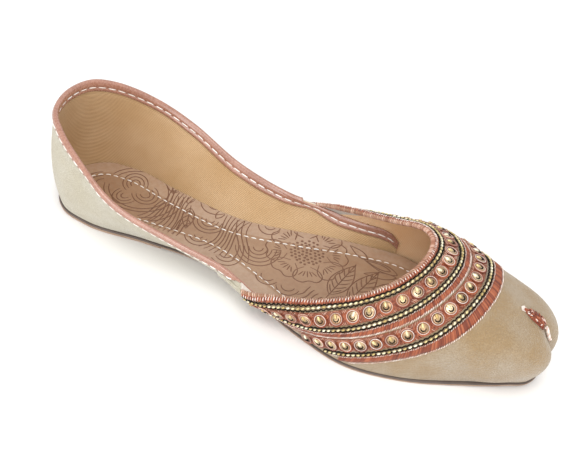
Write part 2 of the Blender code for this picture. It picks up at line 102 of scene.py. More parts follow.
# share of the half outline; along, out and up of the swell; along, out and up of the edge; fullness
QUARTER_SECTIONS = [
    (0.000, -0.010, 0.000, 0.46, 0.009, 0.000, 1.000, 1.0),
    (0.050, 0.000, 0.420, 0.46, 0.022, 0.400, 0.985, 1.0),
    (0.100, 0.042, 0.760, 0.46, 0.057, 0.640, 0.938, 1.0),
    (0.160, 0.119, 0.900, 0.46, 0.118, 0.862, 0.825, 1.0),
    (0.250, 0.212, 0.900, 0.39, 0.203, 1.015, 0.625, 1.0),
    (0.345, 0.315, 0.770, 0.23, 0.315, 0.925, 0.440, 1.0),
    (0.430, 0.413, 0.870, 0.19, 0.413, 0.885, 0.360, 1.0),
]
VAMP_SECTIONS = [
    (0.500, 0.488, 1.035, 0.300, 0.476, 0.865, 0.390, 1.0),
    (0.580, 0.582, 1.065, 0.515, 0.571, 0.850, 0.487, 1.0),
    (0.660, 0.670, 1.085, 0.630, 0.646, 0.728, 0.645, 1.0),
    (0.760, 0.764, 1.020, 0.750, 0.699, 0.565, 0.822, 1.1),
    (0.860, 0.890, 0.790, 0.715, 0.726, 0.366, 0.930, 1.5),
    (0.940, 1.020, 0.480, 0.660, 0.738, 0.185, 0.980, 1.9),
    (1.000, 1.030, 0.000, 0.690, 0.742, 0.000, 1.000, 1.9),
]
# share of the half outline, height of the quarter as a share of its throat
QUARTER_TOP = [(0.485, 1.00), (0.500, 0.935), (0.520, 0.795), (0.545, 0.660),
               (0.580, 0.565), (0.620, 0.475), (0.640, 0.395), (0.656, 0.250)]
QUARTER_END = QUARTER_TOP[-1][0]
TAIL_START = 0.425
TAIL_RISE = 0.475
TAIL_FULL = 0.565
OUTER_LEG_FADE = 0.445
OUTER_LEG_END = 0.480
TUCK_END = QUARTER_TOP[0][0]
TRIM_BEGIN = 0.484


def smooth_rows(keys, values, at):
    keys = np.asarray(keys, float)
    values = np.asarray(values, float)
    step = np.diff(keys)
    slope = np.diff(values, axis=0) / step[:, None]
    tangent = np.empty_like(values)
    before, after = step[:-1, None], step[1:, None]
    tangent[1:-1] = (slope[:-1] * after + slope[1:] * before) / (before + after)
    tangent[0] = slope[0]
    tangent[-1] = slope[-1]
    at = np.atleast_1d(at)
    i = np.clip(np.searchsorted(keys, at, side="right") - 1, 0, len(step) - 1)
    h = step[i][:, None]
    x = ((at - keys[i]) / step[i])[:, None]
    return ((1 + 2 * x) * (1 - x) ** 2 * values[i] + x * (1 - x) ** 2 * h * tangent[i]
            + x ** 2 * (3 - 2 * x) * values[i + 1] + x ** 2 * (x - 1) * h * tangent[i + 1])


def mirrored(keys, rows):
    flip = np.ones(rows.shape[1])
    flip[1::3] = -1.0
    keys = np.concatenate([[-keys[1]], keys, [2 * keys[-1] - keys[-2]]])
    return keys, np.vstack([rows[1] * flip, rows, rows[-2] * flip])


def ramp(value, start, stop):
    x = np.clip((value - start) / (stop - start), 0.0, 1.0)
    return x * x * (3 - 2 * x)


def travel_along(path):
    """Distance travelled along a path at each of its points."""
    return np.concatenate([[0.0], np.cumsum(np.linalg.norm(np.diff(path, axis=0), axis=1))])


def outline_table():
    rows = np.array([(along * LENGTH, share * width / 2) for along, share, width in SOLE_OUTLINE])
    chord = travel_along(rows)
    return chord / chord[-1], rows, chord[-1]


OUTLINE_KEYS, OUTLINE_ROWS, OUTLINE_LENGTH = outline_table()


def sole_point(share, inset=0.0):
    """Points of the half outline, in the heel's frame, moved inwards by the inset."""
    keys, rows = mirrored(OUTLINE_KEYS, OUTLINE_ROWS)
    small = 0.002
    share = np.atleast_1d(share)
    run = smooth_rows(keys, rows, share + small) - smooth_rows(keys, rows, share - small)
    inward = np.stack([run[:, 1], -run[:, 0]], 1) / np.hypot(run[:, 0], run[:, 1])[:, None]
    return smooth_rows(keys, rows, share) + inward * np.reshape(inset, (-1, 1))


def sole_rise(x):
    table = np.array(SOLE_RISE)
    along = np.clip(np.asarray(x) / LENGTH, 0.0, 1.0)
    lift = np.interp(along, table[:, 0], table[:, 1])
    spring = np.interp(along, table[:, 0], table[:, 2])
    return lift * HEEL_LIFT + spring * TOE_SPRING


def half_share(ring):
    return 1.0 - np.abs(1.0 - np.mod(ring, 2.0))


def section_table():
    keys, rows = [], []
    for table, half_width, height in ((QUARTER_SECTIONS, COLLAR_WIDTH / 2, HEEL_HEIGHT),
                                      (VAMP_SECTIONS, BALL_WIDTH / 2, INSTEP_HEIGHT)):
        for share, sx, sy, sz, ex, ey, ez, full in table:
            keys.append(share)
            rows.append((sx * LENGTH, sy * half_width, sz * height,
                         ex * LENGTH, ey * half_width, ez * height, full))
    return mirrored(np.array(keys), np.array(rows))


def body_columns(ring, steps=120):
    """Columns of the upper's body surface from the sole up to its edge, in the model's frame."""
    side = np.where(np.mod(ring, 2.0) > 1.0, -1.0, 1.0)
    share = half_share(ring)
    row = smooth_rows(*section_table(), share)
    inset = FEATHER_INSET + (WALL - LAP) * ramp(share, TAIL_START - 0.10, TAIL_START)
    foot = sole_point(share, inset)
    foot = np.column_stack([foot, SOLE_THICKNESS + sole_rise(foot[:, 0]) + CLEARANCE])
    swell, edge, full = row[:, None, 0:3], row[:, None, 3:6], row[:, 6, None, None]
    t = np.linspace(0.0, 1.0, steps)[None, :, None]
    bottom = (1 - t) ** 2 + 2 * full * t * (1 - t) + t ** 2
    points = ((1 - t) ** 2 * foot[:, None] + 2 * full * t * (1 - t) * swell + t ** 2 * edge) / bottom
    across = (1.0 - share) * OUTLINE_LENGTH / CLEFT_WIDTH
    height = t[0, :, 0]
    window = ramp(height, 0.02, 0.14) * (1 - ramp(height, 0.38, 0.62))
    depth = CLEFT_DEPTH * np.exp(-across ** 2)[:, None] * window[None, :]
    points[:, :, 0] += HEEL_X - depth * 0.88
    points[:, :, 2] -= depth * 0.47
    points[:, :, 1] *= side[:, None]
    return points


def unit(v):
    return v / np.maximum(np.linalg.norm(v, axis=-1, keepdims=True), 1e-12)


# The body surface as a fine table: places round the shoe by even steps up each column
RINGS, STEPS = 1600, 200
RING = np.linspace(0.0, 2.0, RINGS + 1)


def surface_tables():
    columns = body_columns(RING)
    travel = np.cumsum(np.linalg.norm(np.diff(columns, axis=1), axis=2), axis=1)
    travel = np.concatenate([np.zeros((len(RING), 1)), travel], axis=1)
    even = np.linspace(0.0, 1.0, STEPS + 1)
    points = np.empty((len(RING), STEPS + 1, 3))
    for i, column in enumerate(columns):
        for axis in range(3):
            points[i, :, axis] = np.interp(even * travel[i, -1], travel[i], column[:, axis])
    wide = np.concatenate([points[-2:-1], points, points[1:2]])
    normal = unit(np.cross(np.gradient(points, axis=1), wide[2:] - wide[:-2]))
    level = (1.0 - ramp(even[None] * travel[:, -1:], 0.0, 0.003))[..., None]
    flat = normal * np.array([1.0, 1.0, 0.0])
    flat /= np.maximum((flat ** 2).sum(axis=2, keepdims=True), 0.3)
    return points, normal * (1 - level) + flat * level, travel[:, -1]


POINTS, NORMALS, COLUMN_LENGTH = surface_tables()
TOPS = unit(POINTS[:, -1] - POINTS[:, -4])

# Soft hollows and swells of the velvet at the toe and beside the ball.
# Columns: middle along and across in metres from the model's origin, turn in degrees,
# half length and half width in metres, depth in metres, which is negative for a swell.
CREASES = [
    (0.1010, -0.0150, 62, 0.0100, 0.0045, 0.0007),
    (0.1080, 0.0115, -58, 0.0095, 0.0040, 0.0007),
    (0.0900, -0.0260, 40, 0.0120, 0.0050, 0.0005),
    (0.0930, 0.0250, -44, 0.0120, 0.0050, 0.0006),
    (0.0780, -0.0330, 25, 0.0100, 0.0035, 0.0004),
    (0.1120, -0.0040, 88, 0.0060, 0.0035, 0.0005),
    (0.1000, 0.0020, 4, 0.0080, 0.0050, -0.0004),
    (-0.0150, -0.0260, 12, 0.0130, 0.0030, 0.0004),
    (-0.0150, 0.0260, -12, 0.0130, 0.0030, 0.0004),
    (-0.0900, -0.0330, 30, 0.0140, 0.0060, 0.0005),
    (-0.0900, 0.0330, -30, 0.0140, 0.0060, 0.0005),
]


def relief(point):
    """How far the velvet's surface sinks or swells at each point."""
    total = np.zeros(point.shape[:-1])
    for x, y, turn, length, width, depth in CREASES:
        dx, dy = point[..., 0] - x, point[..., 1] - y
        c, s = math.cos(math.radians(turn)), math.sin(math.radians(turn))
        along, across = (dx * c + dy * s) / length, (dy * c - dx * s) / width
        total -= depth * np.exp(-along ** 2 - across ** 2)
    return total


def mix_rings(table, ring):
    place = np.mod(ring, 2.0) * (RINGS / 2)
    i = np.minimum(place.astype(int), RINGS - 1)
    part = place - i
    if table.ndim > 1:
        part = part[..., None]
    return table[i] * (1 - part) + table[i + 1] * part


def skin(ring, height, lift=0.0):
    """Points at a lift outside the body surface. Above a column's top they run straight on."""
    ring, height, lift = np.broadcast_arrays(np.asarray(ring, float), height, lift)
    place = np.mod(ring, 2.0) * (RINGS / 2)
    i = np.minimum(place.astype(int), RINGS - 1)
    a = (place - i)[..., None]
    length = mix_rings(COLUMN_LENGTH, ring)
    up = np.clip(height / length, 0.0, 1.0) * STEPS
    j = np.minimum(up.astype(int), STEPS - 1)
    b = (up - j)[..., None]

    def mix(table):
        return (table[i, j] * (1 - a) * (1 - b) + table[i + 1, j] * a * (1 - b)
                + table[i, j + 1] * (1 - a) * b + table[i + 1, j + 1] * a * b)

    over = np.maximum(height - length, 0.0)[..., None]
    point = mix(POINTS) + over * mix_rings(TOPS, ring)
    lift = lift + relief(point) * (1 - ramp(-lift, 0.0, 0.0004))
    return point + mix(NORMALS) * lift[..., None]


def column_length(ring):
    return mix_rings(COLUMN_LENGTH, np.asarray(ring, float))


def quarter_height(ring):
    table = np.array(QUARTER_TOP)
    return column_length(ring) * np.interp(half_share(ring), table[:, 0], table[:, 1])


def vamp_height(ring):
    return column_length(ring) - TAIL_DROP * (1 - ramp(half_share(ring), TAIL_RISE, TAIL_FULL))


def inner_leg(height):
    return np.minimum(BINDING_INSIDE, 0.36 * height)


# ---- mesh helpers


class Soup:
    """Collects parts of one mesh. Each part has a material mark and a tone per point."""

    def __init__(self):
        self.points, self.tones, self.faces, self.marks = [], [], [], []
        self.count = 0

    def add(self, points, faces, mark=0, tone=0.5):
        points = np.asarray(points, float).reshape(-1, 3)
        self.points.append(points)
        self.tones.append(np.broadcast_to(np.ravel(tone) if np.ndim(tone) else tone, (len(points),)))
        if isinstance(faces, np.ndarray):
            self.faces.extend((faces + self.count).tolist())
        else:
            self.faces.extend([[v + self.count for v in face] for face in faces])
        self.marks.extend([mark] * len(faces) if np.ndim(mark) == 0 else list(mark))
        self.count += len(points)

    def stamp(self, template, origin, axes, mark=0, tone=0.5):
        """A copy of the template at each origin, in the axes (n, 3, 3) whose rows are its directions."""
        points, faces = template
        placed = origin[:, None] + np.einsum("pk,nkc->npc", points, axes)
        for k in range(len(origin)):
            self.add(placed[k], faces, mark, tone[k] if np.ndim(tone) else tone)

    def build(self, name, materials, place=None, sharp=None):
        mesh = bpy.data.meshes.new(name)
        mesh.from_pydata(np.concatenate(self.points).tolist(), [], self.faces)
        for item in materials:
            mesh.materials.append(item)
        mesh.polygons.foreach_set("material_index", np.array(self.marks, np.int32))
        tone = mesh.attributes.new("tone", "FLOAT", "POINT")
        tone.data.foreach_set("value", np.concatenate(self.tones).astype(np.float32))
        if place is not None:
            data = mesh.attributes.new("place", "FLOAT_VECTOR", "POINT")
            data.data.foreach_set("vector", np.asarray(place, np.float32).ravel())
        work = bmesh.new()
        work.from_mesh(mesh)
        bmesh.ops.recalc_face_normals(work, faces=work.faces)
        work.to_mesh(mesh)
        work.free()
        mesh.shade_smooth()
        if sharp:
            mesh.set_sharp_from_angle(angle=math.radians(sharp))
        mesh.update()
        item = bpy.data.objects.new(name, mesh)
        bpy.context.scene.collection.objects.link(item)
        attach(item, "root")
        return item


def loft_faces(rows, around, closed=False):
    """Quads between rings of points. A closed loft joins its last ring to its first."""
    i = np.arange(rows if closed else rows - 1)[:, None]
    k = np.arange(around)[None, :]
    j, m = (i + 1) % rows, (k + 1) % around
    quads = np.stack(np.broadcast_arrays(i * around + k, i * around + m, j * around + m, j * around + k), -1)
    return quads.reshape(-1, 4)


def capped(rows, around):
    """Faces of an open loft whose two ends are closed."""
    ends = [list(reversed(range(around))), list(range((rows - 1) * around, rows * around))]
    return loft_faces(rows, around).tolist() + ends


def add_tubes(soup, path, normal, radius, mark=0, tone=0.5, sides=5, flat=1.0):
    """Closed tubes along many paths (n, m, 3). The radius may change along a path."""
    ahead = unit(np.gradient(path, axis=1))
    side = unit(np.cross(ahead, np.broadcast_to(normal, path.shape)))
    out = np.cross(side, ahead)
    angle = np.arange(sides) * (2 * math.pi / sides)
    ring = out[:, :, None] * np.cos(angle)[:, None] * flat + side[:, :, None] * np.sin(angle)[:, None]
    points = path[:, :, None] + ring * np.broadcast_to(radius, path.shape[:2])[:, :, None, None]
    faces = capped(path.shape[1], sides)
    for k, tube in enumerate(points):
        soup.add(tube, faces, mark, tone[k] if np.ndim(tone) else tone)


def lay(soup, ring, height, lift, radius, mark=0, tone=0.5, sides=5, flat=1.0, sign=1.0):
    """Threads on the upper through ring places and heights at a lift. Sign -1 is for its inside."""
    path = skin(ring, height, lift)
    outward = sign * (skin(ring, height, lift + 0.001) - path)
    if path.ndim == 2:
        path, outward = path[None], outward[None]
    add_tubes(soup, path, outward, radius, mark, tone, sides, flat)


def ellipsoid(a, b, c, around, rows):
    """A closed egg with half axes a, b and c."""
    lat = (-math.pi / 2 + math.pi * np.arange(1, rows) / rows)[:, None]
    lon = 2 * math.pi * np.arange(around) / around
    rings = np.broadcast_arrays(a * np.cos(lat) * np.cos(lon), b * np.cos(lat) * np.sin(lon), c * np.sin(lat))
    points = np.concatenate([[(0.0, 0.0, -c)], np.stack(rings, -1).reshape(-1, 3), [(0.0, 0.0, c)]])
    top = len(points) - 1
    faces = (loft_faces(rows - 1, around) + 1).tolist()
    for k in range(around):
        m = (k + 1) % around
        faces += [[0, 1 + m, 1 + k], [top, top - around + k, top - around + m]]
    return points, faces


def torus(radius, tube, start, turn, bumps, around=36, sides=5):
    """A ring in the local plane, or an arc of it in degrees, with small bumps like wound thread."""
    closed = turn == 360
    part = np.arange(around if closed else around + 1) / around
    a = math.radians(start) + math.radians(turn) * part
    swell = tube * (1.0 + 0.28 * np.cos(bumps * a))
    if not closed:
        swell *= 0.35 + 0.65 * np.sqrt(np.abs(np.sin(math.pi * part)))
    b = 2 * math.pi * np.arange(sides) / sides
    r = radius + swell[:, None] * np.cos(b)
    points = np.stack([r * np.cos(a)[:, None], r * np.sin(a)[:, None], swell[:, None] * np.sin(b)], -1)
    faces = loft_faces(len(a), sides, True).tolist() if closed else capped(len(a), sides)
    return points.reshape(-1, 3), faces


# ---- places round the throat


def throat_skin(ring, drop, lift):
    return skin(ring, vamp_height(ring) - drop, lift)


class Line:
    """A line round the throat at a distance below its edge, measured along its own length."""

    def __init__(self, drop):
        ring = np.linspace(TRIM_BEGIN, 2.0 - TRIM_BEGIN, 1500)
        ring = ring[vamp_height(ring) - drop > FOOT_MARGIN]
        self.drop, self.ring = drop, ring
        self.travel = travel_along(throat_skin(ring, drop, OUT))
        self.length = self.travel[-1]

    def at(self, s):
        return np.interp(s, self.travel, self.ring)

    def even(self, pitch):
        count = int(self.length / pitch)
        return (np.arange(count) + 0.5) * self.length / count

    def axes(self, s, lift, turn):
        """Origins and axes at distances s: towards the throat, ahead and outwards, turned in the plane."""
        ring = self.at(s)
        point = throat_skin(ring, self.drop, lift)
        up = throat_skin(ring, self.drop - 0.0004, lift) - throat_skin(ring, self.drop + 0.0004, lift)
        ahead = throat_skin(ring + 0.0008, self.drop, lift) - throat_skin(ring - 0.0008, self.drop, lift)
        ahead = unit(ahead)
        out = unit(np.cross(up, ahead))
        up = np.cross(ahead, out)
        turn = np.reshape(turn, (-1, 1))
        first = up * np.cos(turn) + ahead * np.sin(turn)
        second = ahead * np.cos(turn) - up * np.sin(turn)
        return point, np.stack([first, second, out], axis=1)


# ---- materials


def linear(r, g, b):
    def one(c):
        c /= 255.0
        return c / 12.92 if c <= 0.04045 else ((c + 0.055) / 1.055) ** 2.4
    return (one(r), one(g), one(b), 1.0)


class Look:
    """A Principled material and short calls for its nodes."""

    def __init__(self, name, roughness, **sockets):
        self.material = bpy.data.materials.new(name)
        self.material.use_nodes = True
        self.tree = self.material.node_tree
        self.shader = self.tree.nodes["Principled BSDF"]
        self.height = None
        for socket, value in dict(sockets, Roughness=roughness).items():
            self.feed(self.shader.inputs[socket.replace("_", " ")], value)

    def feed(self, socket, value):
        if isinstance(value, bpy.types.NodeSocket):
            self.tree.links.new(value, socket)
        else:
            socket.default_value = value

    def node(self, kind, feeds, output, **values):
        item = self.tree.nodes.new("ShaderNode" + kind)
        for key, value in values.items():
            setattr(item, key, value)
        for socket, value in feeds.items():
            self.feed(item.inputs[socket], value)
        return item.outputs[output]

    def place(self, turn=None):
        """The mesh's own coordinates, or its turned place on the wall."""
        if turn is None:
            return self.node("TexCoord", {}, "Object")
        source = self.node("Attribute", {}, "Vector", attribute_name="place")
        return self.node("Mapping", {"Vector": source, "Rotation": (0.0, 0.0, turn)}, "Vector")

    def noise(self, scale, detail=3.0, roughness=0.55):
        feeds = {"Scale": scale, "Detail": detail, "Roughness": roughness, "Vector": self.place()}
        return self.node("TexNoise", feeds, "Fac")

    def voronoi(self, scale):
        return self.node("TexVoronoi", {"Scale": scale, "Vector": self.place()}, "Distance")

    def wave(self, scale, place, distortion, direction):
        feeds = {"Scale": scale, "Distortion": distortion, "Detail": 1.0, "Vector": place}
        return self.node("TexWave", feeds, "Fac", bands_direction=direction)

    def spread(self, value, low, high, to_low=0.0, to_high=1.0):
        feeds = {"Value": value, "From Min": low, "From Max": high, "To Min": to_low, "To Max": to_high}
        return self.node("MapRange", feeds, "Result")

    def times(self, value, factor):
        return self.node("Math", {0: value, 1: factor}, 0, operation="MULTIPLY")

    def mix(self, factor, a, b):
        return self.node("Mix", {"Factor": factor, "A": a, "B": b}, "Result", data_type="RGBA")

    def colour(self, value):
        self.feed(self.shader.inputs["Base Color"], value)

    def bump(self, height, distance, strength):
        feeds = {"Distance": distance, "Strength": strength, "Height": height}
        if self.height is not None:
            feeds["Normal"] = self.height
        self.height = self.node("Bump", feeds, "Normal")
        self.feed(self.shader.inputs["Normal"], self.height)


def velvet(name, base, pale, deep, sheen):
    """Short pile: fine speckle, broad patches where the pile lies another way, and a pale sheen."""
    base, pale, deep = linear(*base), linear(*pale), linear(*deep)
    look = Look(name, 0.92, Sheen_Weight=sheen, Sheen_Roughness=0.42, Sheen_Tint=linear(236, 232, 226),
                Specular_IOR_Level=0.25)
    patches = look.spread(look.noise(55.0), 0.40, 0.64)
    fine = look.spread(look.noise(1500.0, 2.0, 0.7), 0.36, 0.64)
    speckle = look.spread(look.noise(4200.0, 2.0, 0.7), 0.34, 0.66)
    colour = look.mix(patches, base, pale)
    colour = look.mix(look.times(fine, 0.58), colour, deep)
    look.colour(look.mix(look.times(speckle, 0.50), colour, pale))
    look.bump(fine, 0.00020, 0.9)
    look.bump(speckle, 0.00006, 0.8)
    return look.material


def woven_lining(name, base, dark, pale):
    """Fine ribs that follow the wall, with a slight irregular weave."""
    base, dark, pale = linear(*base), linear(*dark), linear(*pale)
    look = Look(name, 0.78, Sheen_Weight=0.12)
    place = look.place(0.30)
    ribs = look.wave(390.0, place, 0.35, "Y")
    yarn = look.wave(620.0, place, 0.5, "X")
    cloud = look.spread(look.noise(38.0), 0.36, 0.66)
    colour = look.mix(cloud, base, pale)
    colour = look.mix(look.times(look.spread(ribs, 0.0, 0.7, 1.0, 0.0), 0.60), colour, dark)
    look.colour(look.mix(look.times(yarn, 0.10), colour, pale))
    look.bump(ribs, 0.00018, 0.8)
    look.bump(yarn, 0.00006, 0.5)
    return look.material


def leather(name, base, dark, pale, roughness, coat=0.0, grain=900.0, depth=0.00005, patch=60.0, amount=0.5):
    base, dark, pale = linear(*base), linear(*dark), linear(*pale)
    look = Look(name, roughness, Coat_Weight=coat, Coat_Roughness=0.22)
    cells = look.voronoi(grain)
    cloud = look.spread(look.noise(patch, 4.0), 0.35, 0.68)
    small = look.spread(look.noise(patch * 9), 0.35, 0.65)
    colour = look.mix(look.times(cloud, amount), base, dark)
    colour = look.mix(look.times(small, amount * 0.6), colour, pale)
    look.colour(look.mix(look.spread(cells, 0.0, 0.35, 0.16, 0.0), colour, dark))
    look.bump(cells, depth, 0.6)
    look.bump(small, depth, 0.4)
    uneven = look.spread(small, 0.3, 0.7, roughness - 0.06, roughness + 0.08)
    look.feed(look.shader.inputs["Roughness"], uneven)
    return look.material


def thread(name, base, dark, pale, roughness, metallic, fibre=2600.0, sheen=0.15, specular=0.5):
    """Silk or metal thread: a tone for each stitch and fine twisted fibres."""
    base, dark, pale = linear(*base), linear(*dark), linear(*pale)
    look = Look(name, roughness, Metallic=metallic, Sheen_Weight=sheen, Specular_IOR_Level=specular)
    tone = look.node("Attribute", {}, "Fac", attribute_name="tone")
    fibres = look.noise(fibre, 2.0, 0.6)
    colour = look.mix(look.spread(tone, 0.0, 0.55), dark, base)
    colour = look.mix(look.spread(tone, 0.5, 1.0), colour, pale)
    look.colour(look.mix(look.spread(fibres, 0.50, 0.72, 0.0, 0.35), colour, dark))
    look.bump(fibres, 0.00007, 0.7)
    return look.material


# The vamp's and the quarter's velvets differ partly by the lie of the pile and partly by painted light: the
# quarter's paler, greyer colour stands in for the light it catches at a grazing angle.
VAMP_VELVET = velvet("vamp_velvet", (154, 126, 85), (168, 152, 130), (122, 95, 60), 0.70)
QUARTER_VELVET = velvet("quarter_velvet", (186, 178, 155), (200, 195, 180), (150, 139, 114), 0.50)
FACING = velvet("facing_velvet", (206, 196, 184), (218, 210, 202), (178, 164, 150), 0.40)
QUARTER_LINING = woven_lining("quarter_lining", (192, 157, 112), (146, 106, 66), (206, 174, 134))
# The wings' lining is painted much lighter than the quarter's: painted light that lifts the shade inside the
# wings.
VAMP_LINING = woven_lining("vamp_lining", (240, 196, 146), (196, 140, 92), (248, 216, 176))
BINDING = leather("binding_leather", (160, 112, 92), (124, 80, 62), (196, 150, 132), 0.28, 0.85,
                  grain=1500.0, depth=0.00003, patch=120.0, amount=0.45)
# Dark colour of the leather's cut edges; as the thin line under the binding's outer leg it is partly painted
# shadow.
EDGE_DARK = leather("cut_edge_and_shadow", (70, 54, 46), (44, 34, 30), (96, 78, 66), 0.7)
INSOLE = leather("insole_leather", (158, 126, 98), (132, 94, 68), (174, 146, 120), 0.46, 0.10,
                 grain=1100.0, depth=0.00004, patch=45.0, amount=0.45)
# The margin is the insole's leather painted lighter and pinker: painted sheen where it curls up towards the
# wall.
MARGIN = leather("insole_margin_sheen", (172, 142, 116), (146, 112, 88), (188, 166, 148), 0.36, 0.30,
                 grain=1100.0, depth=0.00004)
TOOLING = leather("tooled_lines", (118, 83, 62), (96, 64, 46), (136, 100, 78), 0.55)
# The dark upper band of the sole's edge is painted shadow in the gap under the upper.
SOLE_EDGE_SHADOW = leather("sole_edge_shadow", (94, 82, 76), (66, 56, 50), (120, 106, 98), 0.6, patch=160.0)
SOLE_TAN = leather("sole_edge_tan", (170, 142, 120), (136, 108, 88), (190, 166, 148), 0.6, patch=160.0)
SOLE_UNDER = leather("sole_under", (150, 116, 88), (112, 82, 60), (172, 140, 110), 0.62, patch=40.0)
COPPER = thread("copper_thread", (140, 66, 34), (98, 38, 18), (176, 102, 66), 0.50, 0.15)
ROSE = thread("rose_thread", (184, 130, 104), (136, 76, 50), (226, 190, 170), 0.42, 0.20)
BLACK = thread("black_thread", (27, 20, 15), (13, 10, 8), (48, 36, 24), 0.75, 0.0, sheen=0.0, specular=0.15)
GOLD = thread("gold_thread", (226, 208, 152), (182, 158, 96), (248, 242, 214), 0.32, 0.45)
# Pale zari thread; over the throat's satin it also paints the satin's highlight.
ZARI_AND_HIGHLIGHT = thread("pale_zari_and_highlight", (228, 206, 194), (196, 160, 142), (248, 240, 232), 0.34, 0.25)
WHITE = thread("white_thread", (240, 232, 224), (212, 198, 186), (250, 248, 244), 0.55, 0.0)
SEQUIN = thread("sequin_metal", (176, 148, 114), (136, 104, 76), (208, 186, 152), 0.30, 0.65, fibre=700.0)
BEAD = thread("bead_metal", (228, 208, 154), (184, 156, 98), (250, 244, 220), 0.24, 0.55, fibre=500.0)


# ---- the wall of velvet and lining


def wall_place(ring, heights, lifts):
    """For each point its distance round the sole's half outline, its height and its lift."""
    around = half_share(ring)[:, None] * OUTLINE_LENGTH
    return np.stack([np.broadcast_to(around, heights.shape), heights, lifts], axis=-1).reshape(-1, 3)


def upper_cloth():
    half = np.concatenate([np.linspace(0.0, TAIL_START, 90),
                           np.linspace(TAIL_START + 0.0001, QUARTER_END, 66),
                           np.linspace(QUARTER_END + 0.0002, 1.0, 92)])
    kind = np.repeat([0, 1, 2], [90, 66, 92])
    ring = np.concatenate([half, 2.0 - half[-2:0:-1]])
    kind = np.concatenate([kind, kind[-2:0:-1]])
    has_vamp, has_quarter = kind > 0, kind < 2
    quarter = quarter_height(ring)
    vamp = np.where(has_vamp, vamp_height(ring), quarter - 0.001)
    free = np.clip((vamp - quarter) / 0.0012, 0.0, 1.0)
    outside = np.where(has_vamp, OUT, 0.0)
    round_ = np.where(has_vamp, 0.00045 + 0.00025 * free, 0.00001)
    middle = outside - round_
    rows, marks = [], []

    def row(height, lift, mark):
        rows.append((height, lift))
        marks.append(mark)

    for k in range(41):
        row((vamp - round_) * k / 40, outside, 0)
    for k in range(1, 5):
        turn = math.pi / 8 * k
        row(vamp - round_ + round_ * math.sin(turn), middle + round_ * math.cos(turn), 0)
    for k in range(1, 5):
        turn = math.pi / 2 + math.pi / 8 * k
        down = vamp - round_ * (1 - math.sin(turn))
        row(vamp * (1 - free) + down * free, middle * (1 - k / 4) * (1 - free)
            + (middle + round_ * math.cos(turn)) * free, 3)
    start = np.where(free > 0.5, vamp - round_, np.maximum(quarter, vamp - round_))
    row(start, np.where(free > 0.5, -LAP, 0.0), 3)
    facing = np.maximum(start - FACING_WIDTH, quarter)
    for k in range(7):
        row(start + (facing - start) * k / 6, -LAP, 3)
    for k in range(1, 13):
        row(facing + (quarter - facing) * k / 12, -LAP, 2)
    thinned = np.where(has_quarter, -EDGE_WALL, -LAP)
    inside = np.where(has_quarter, -WALL, -LAP)
    thin = quarter - inner_leg(quarter)
    row(quarter, thinned, 1)
    row(thin, thinned, 1)
    for k in range(25):
        row((thin - THIN_RUN) * (1 - k / 24), inside, 1)
    heights = np.stack([r[0] + 0.0 * ring for r in rows], axis=1)
    lifts = np.stack([r[1] + 0.0 * ring for r in rows], axis=1)
    around = heights.shape[1]
    faces = loft_faces(len(ring), around, True)
    column, line = np.repeat(np.arange(len(ring)), around), np.tile(np.arange(around), len(ring))
    slot = np.array(marks)[(line + 1) % around]
    on_quarter = half_share(ring[column]) <= TRIM_BEGIN
    slot = np.where(((slot == 0) | (slot == 3)) & on_quarter, 4, slot)
    slot = np.where((slot == 1) & (kind[column] == 2), 2, slot)
    slot = np.where(line == around - 1, 1, slot)
    soup = Soup()
    soup.add(skin(ring[:, None], heights, lifts), faces, slot)
    piece = soup.build("upper_cloth", [VAMP_VELVET, QUARTER_LINING, VAMP_LINING, FACING, QUARTER_VELVET],
                       wall_place(ring, heights, lifts), sharp=60.0)
    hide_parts("upper")


# ---- the binding


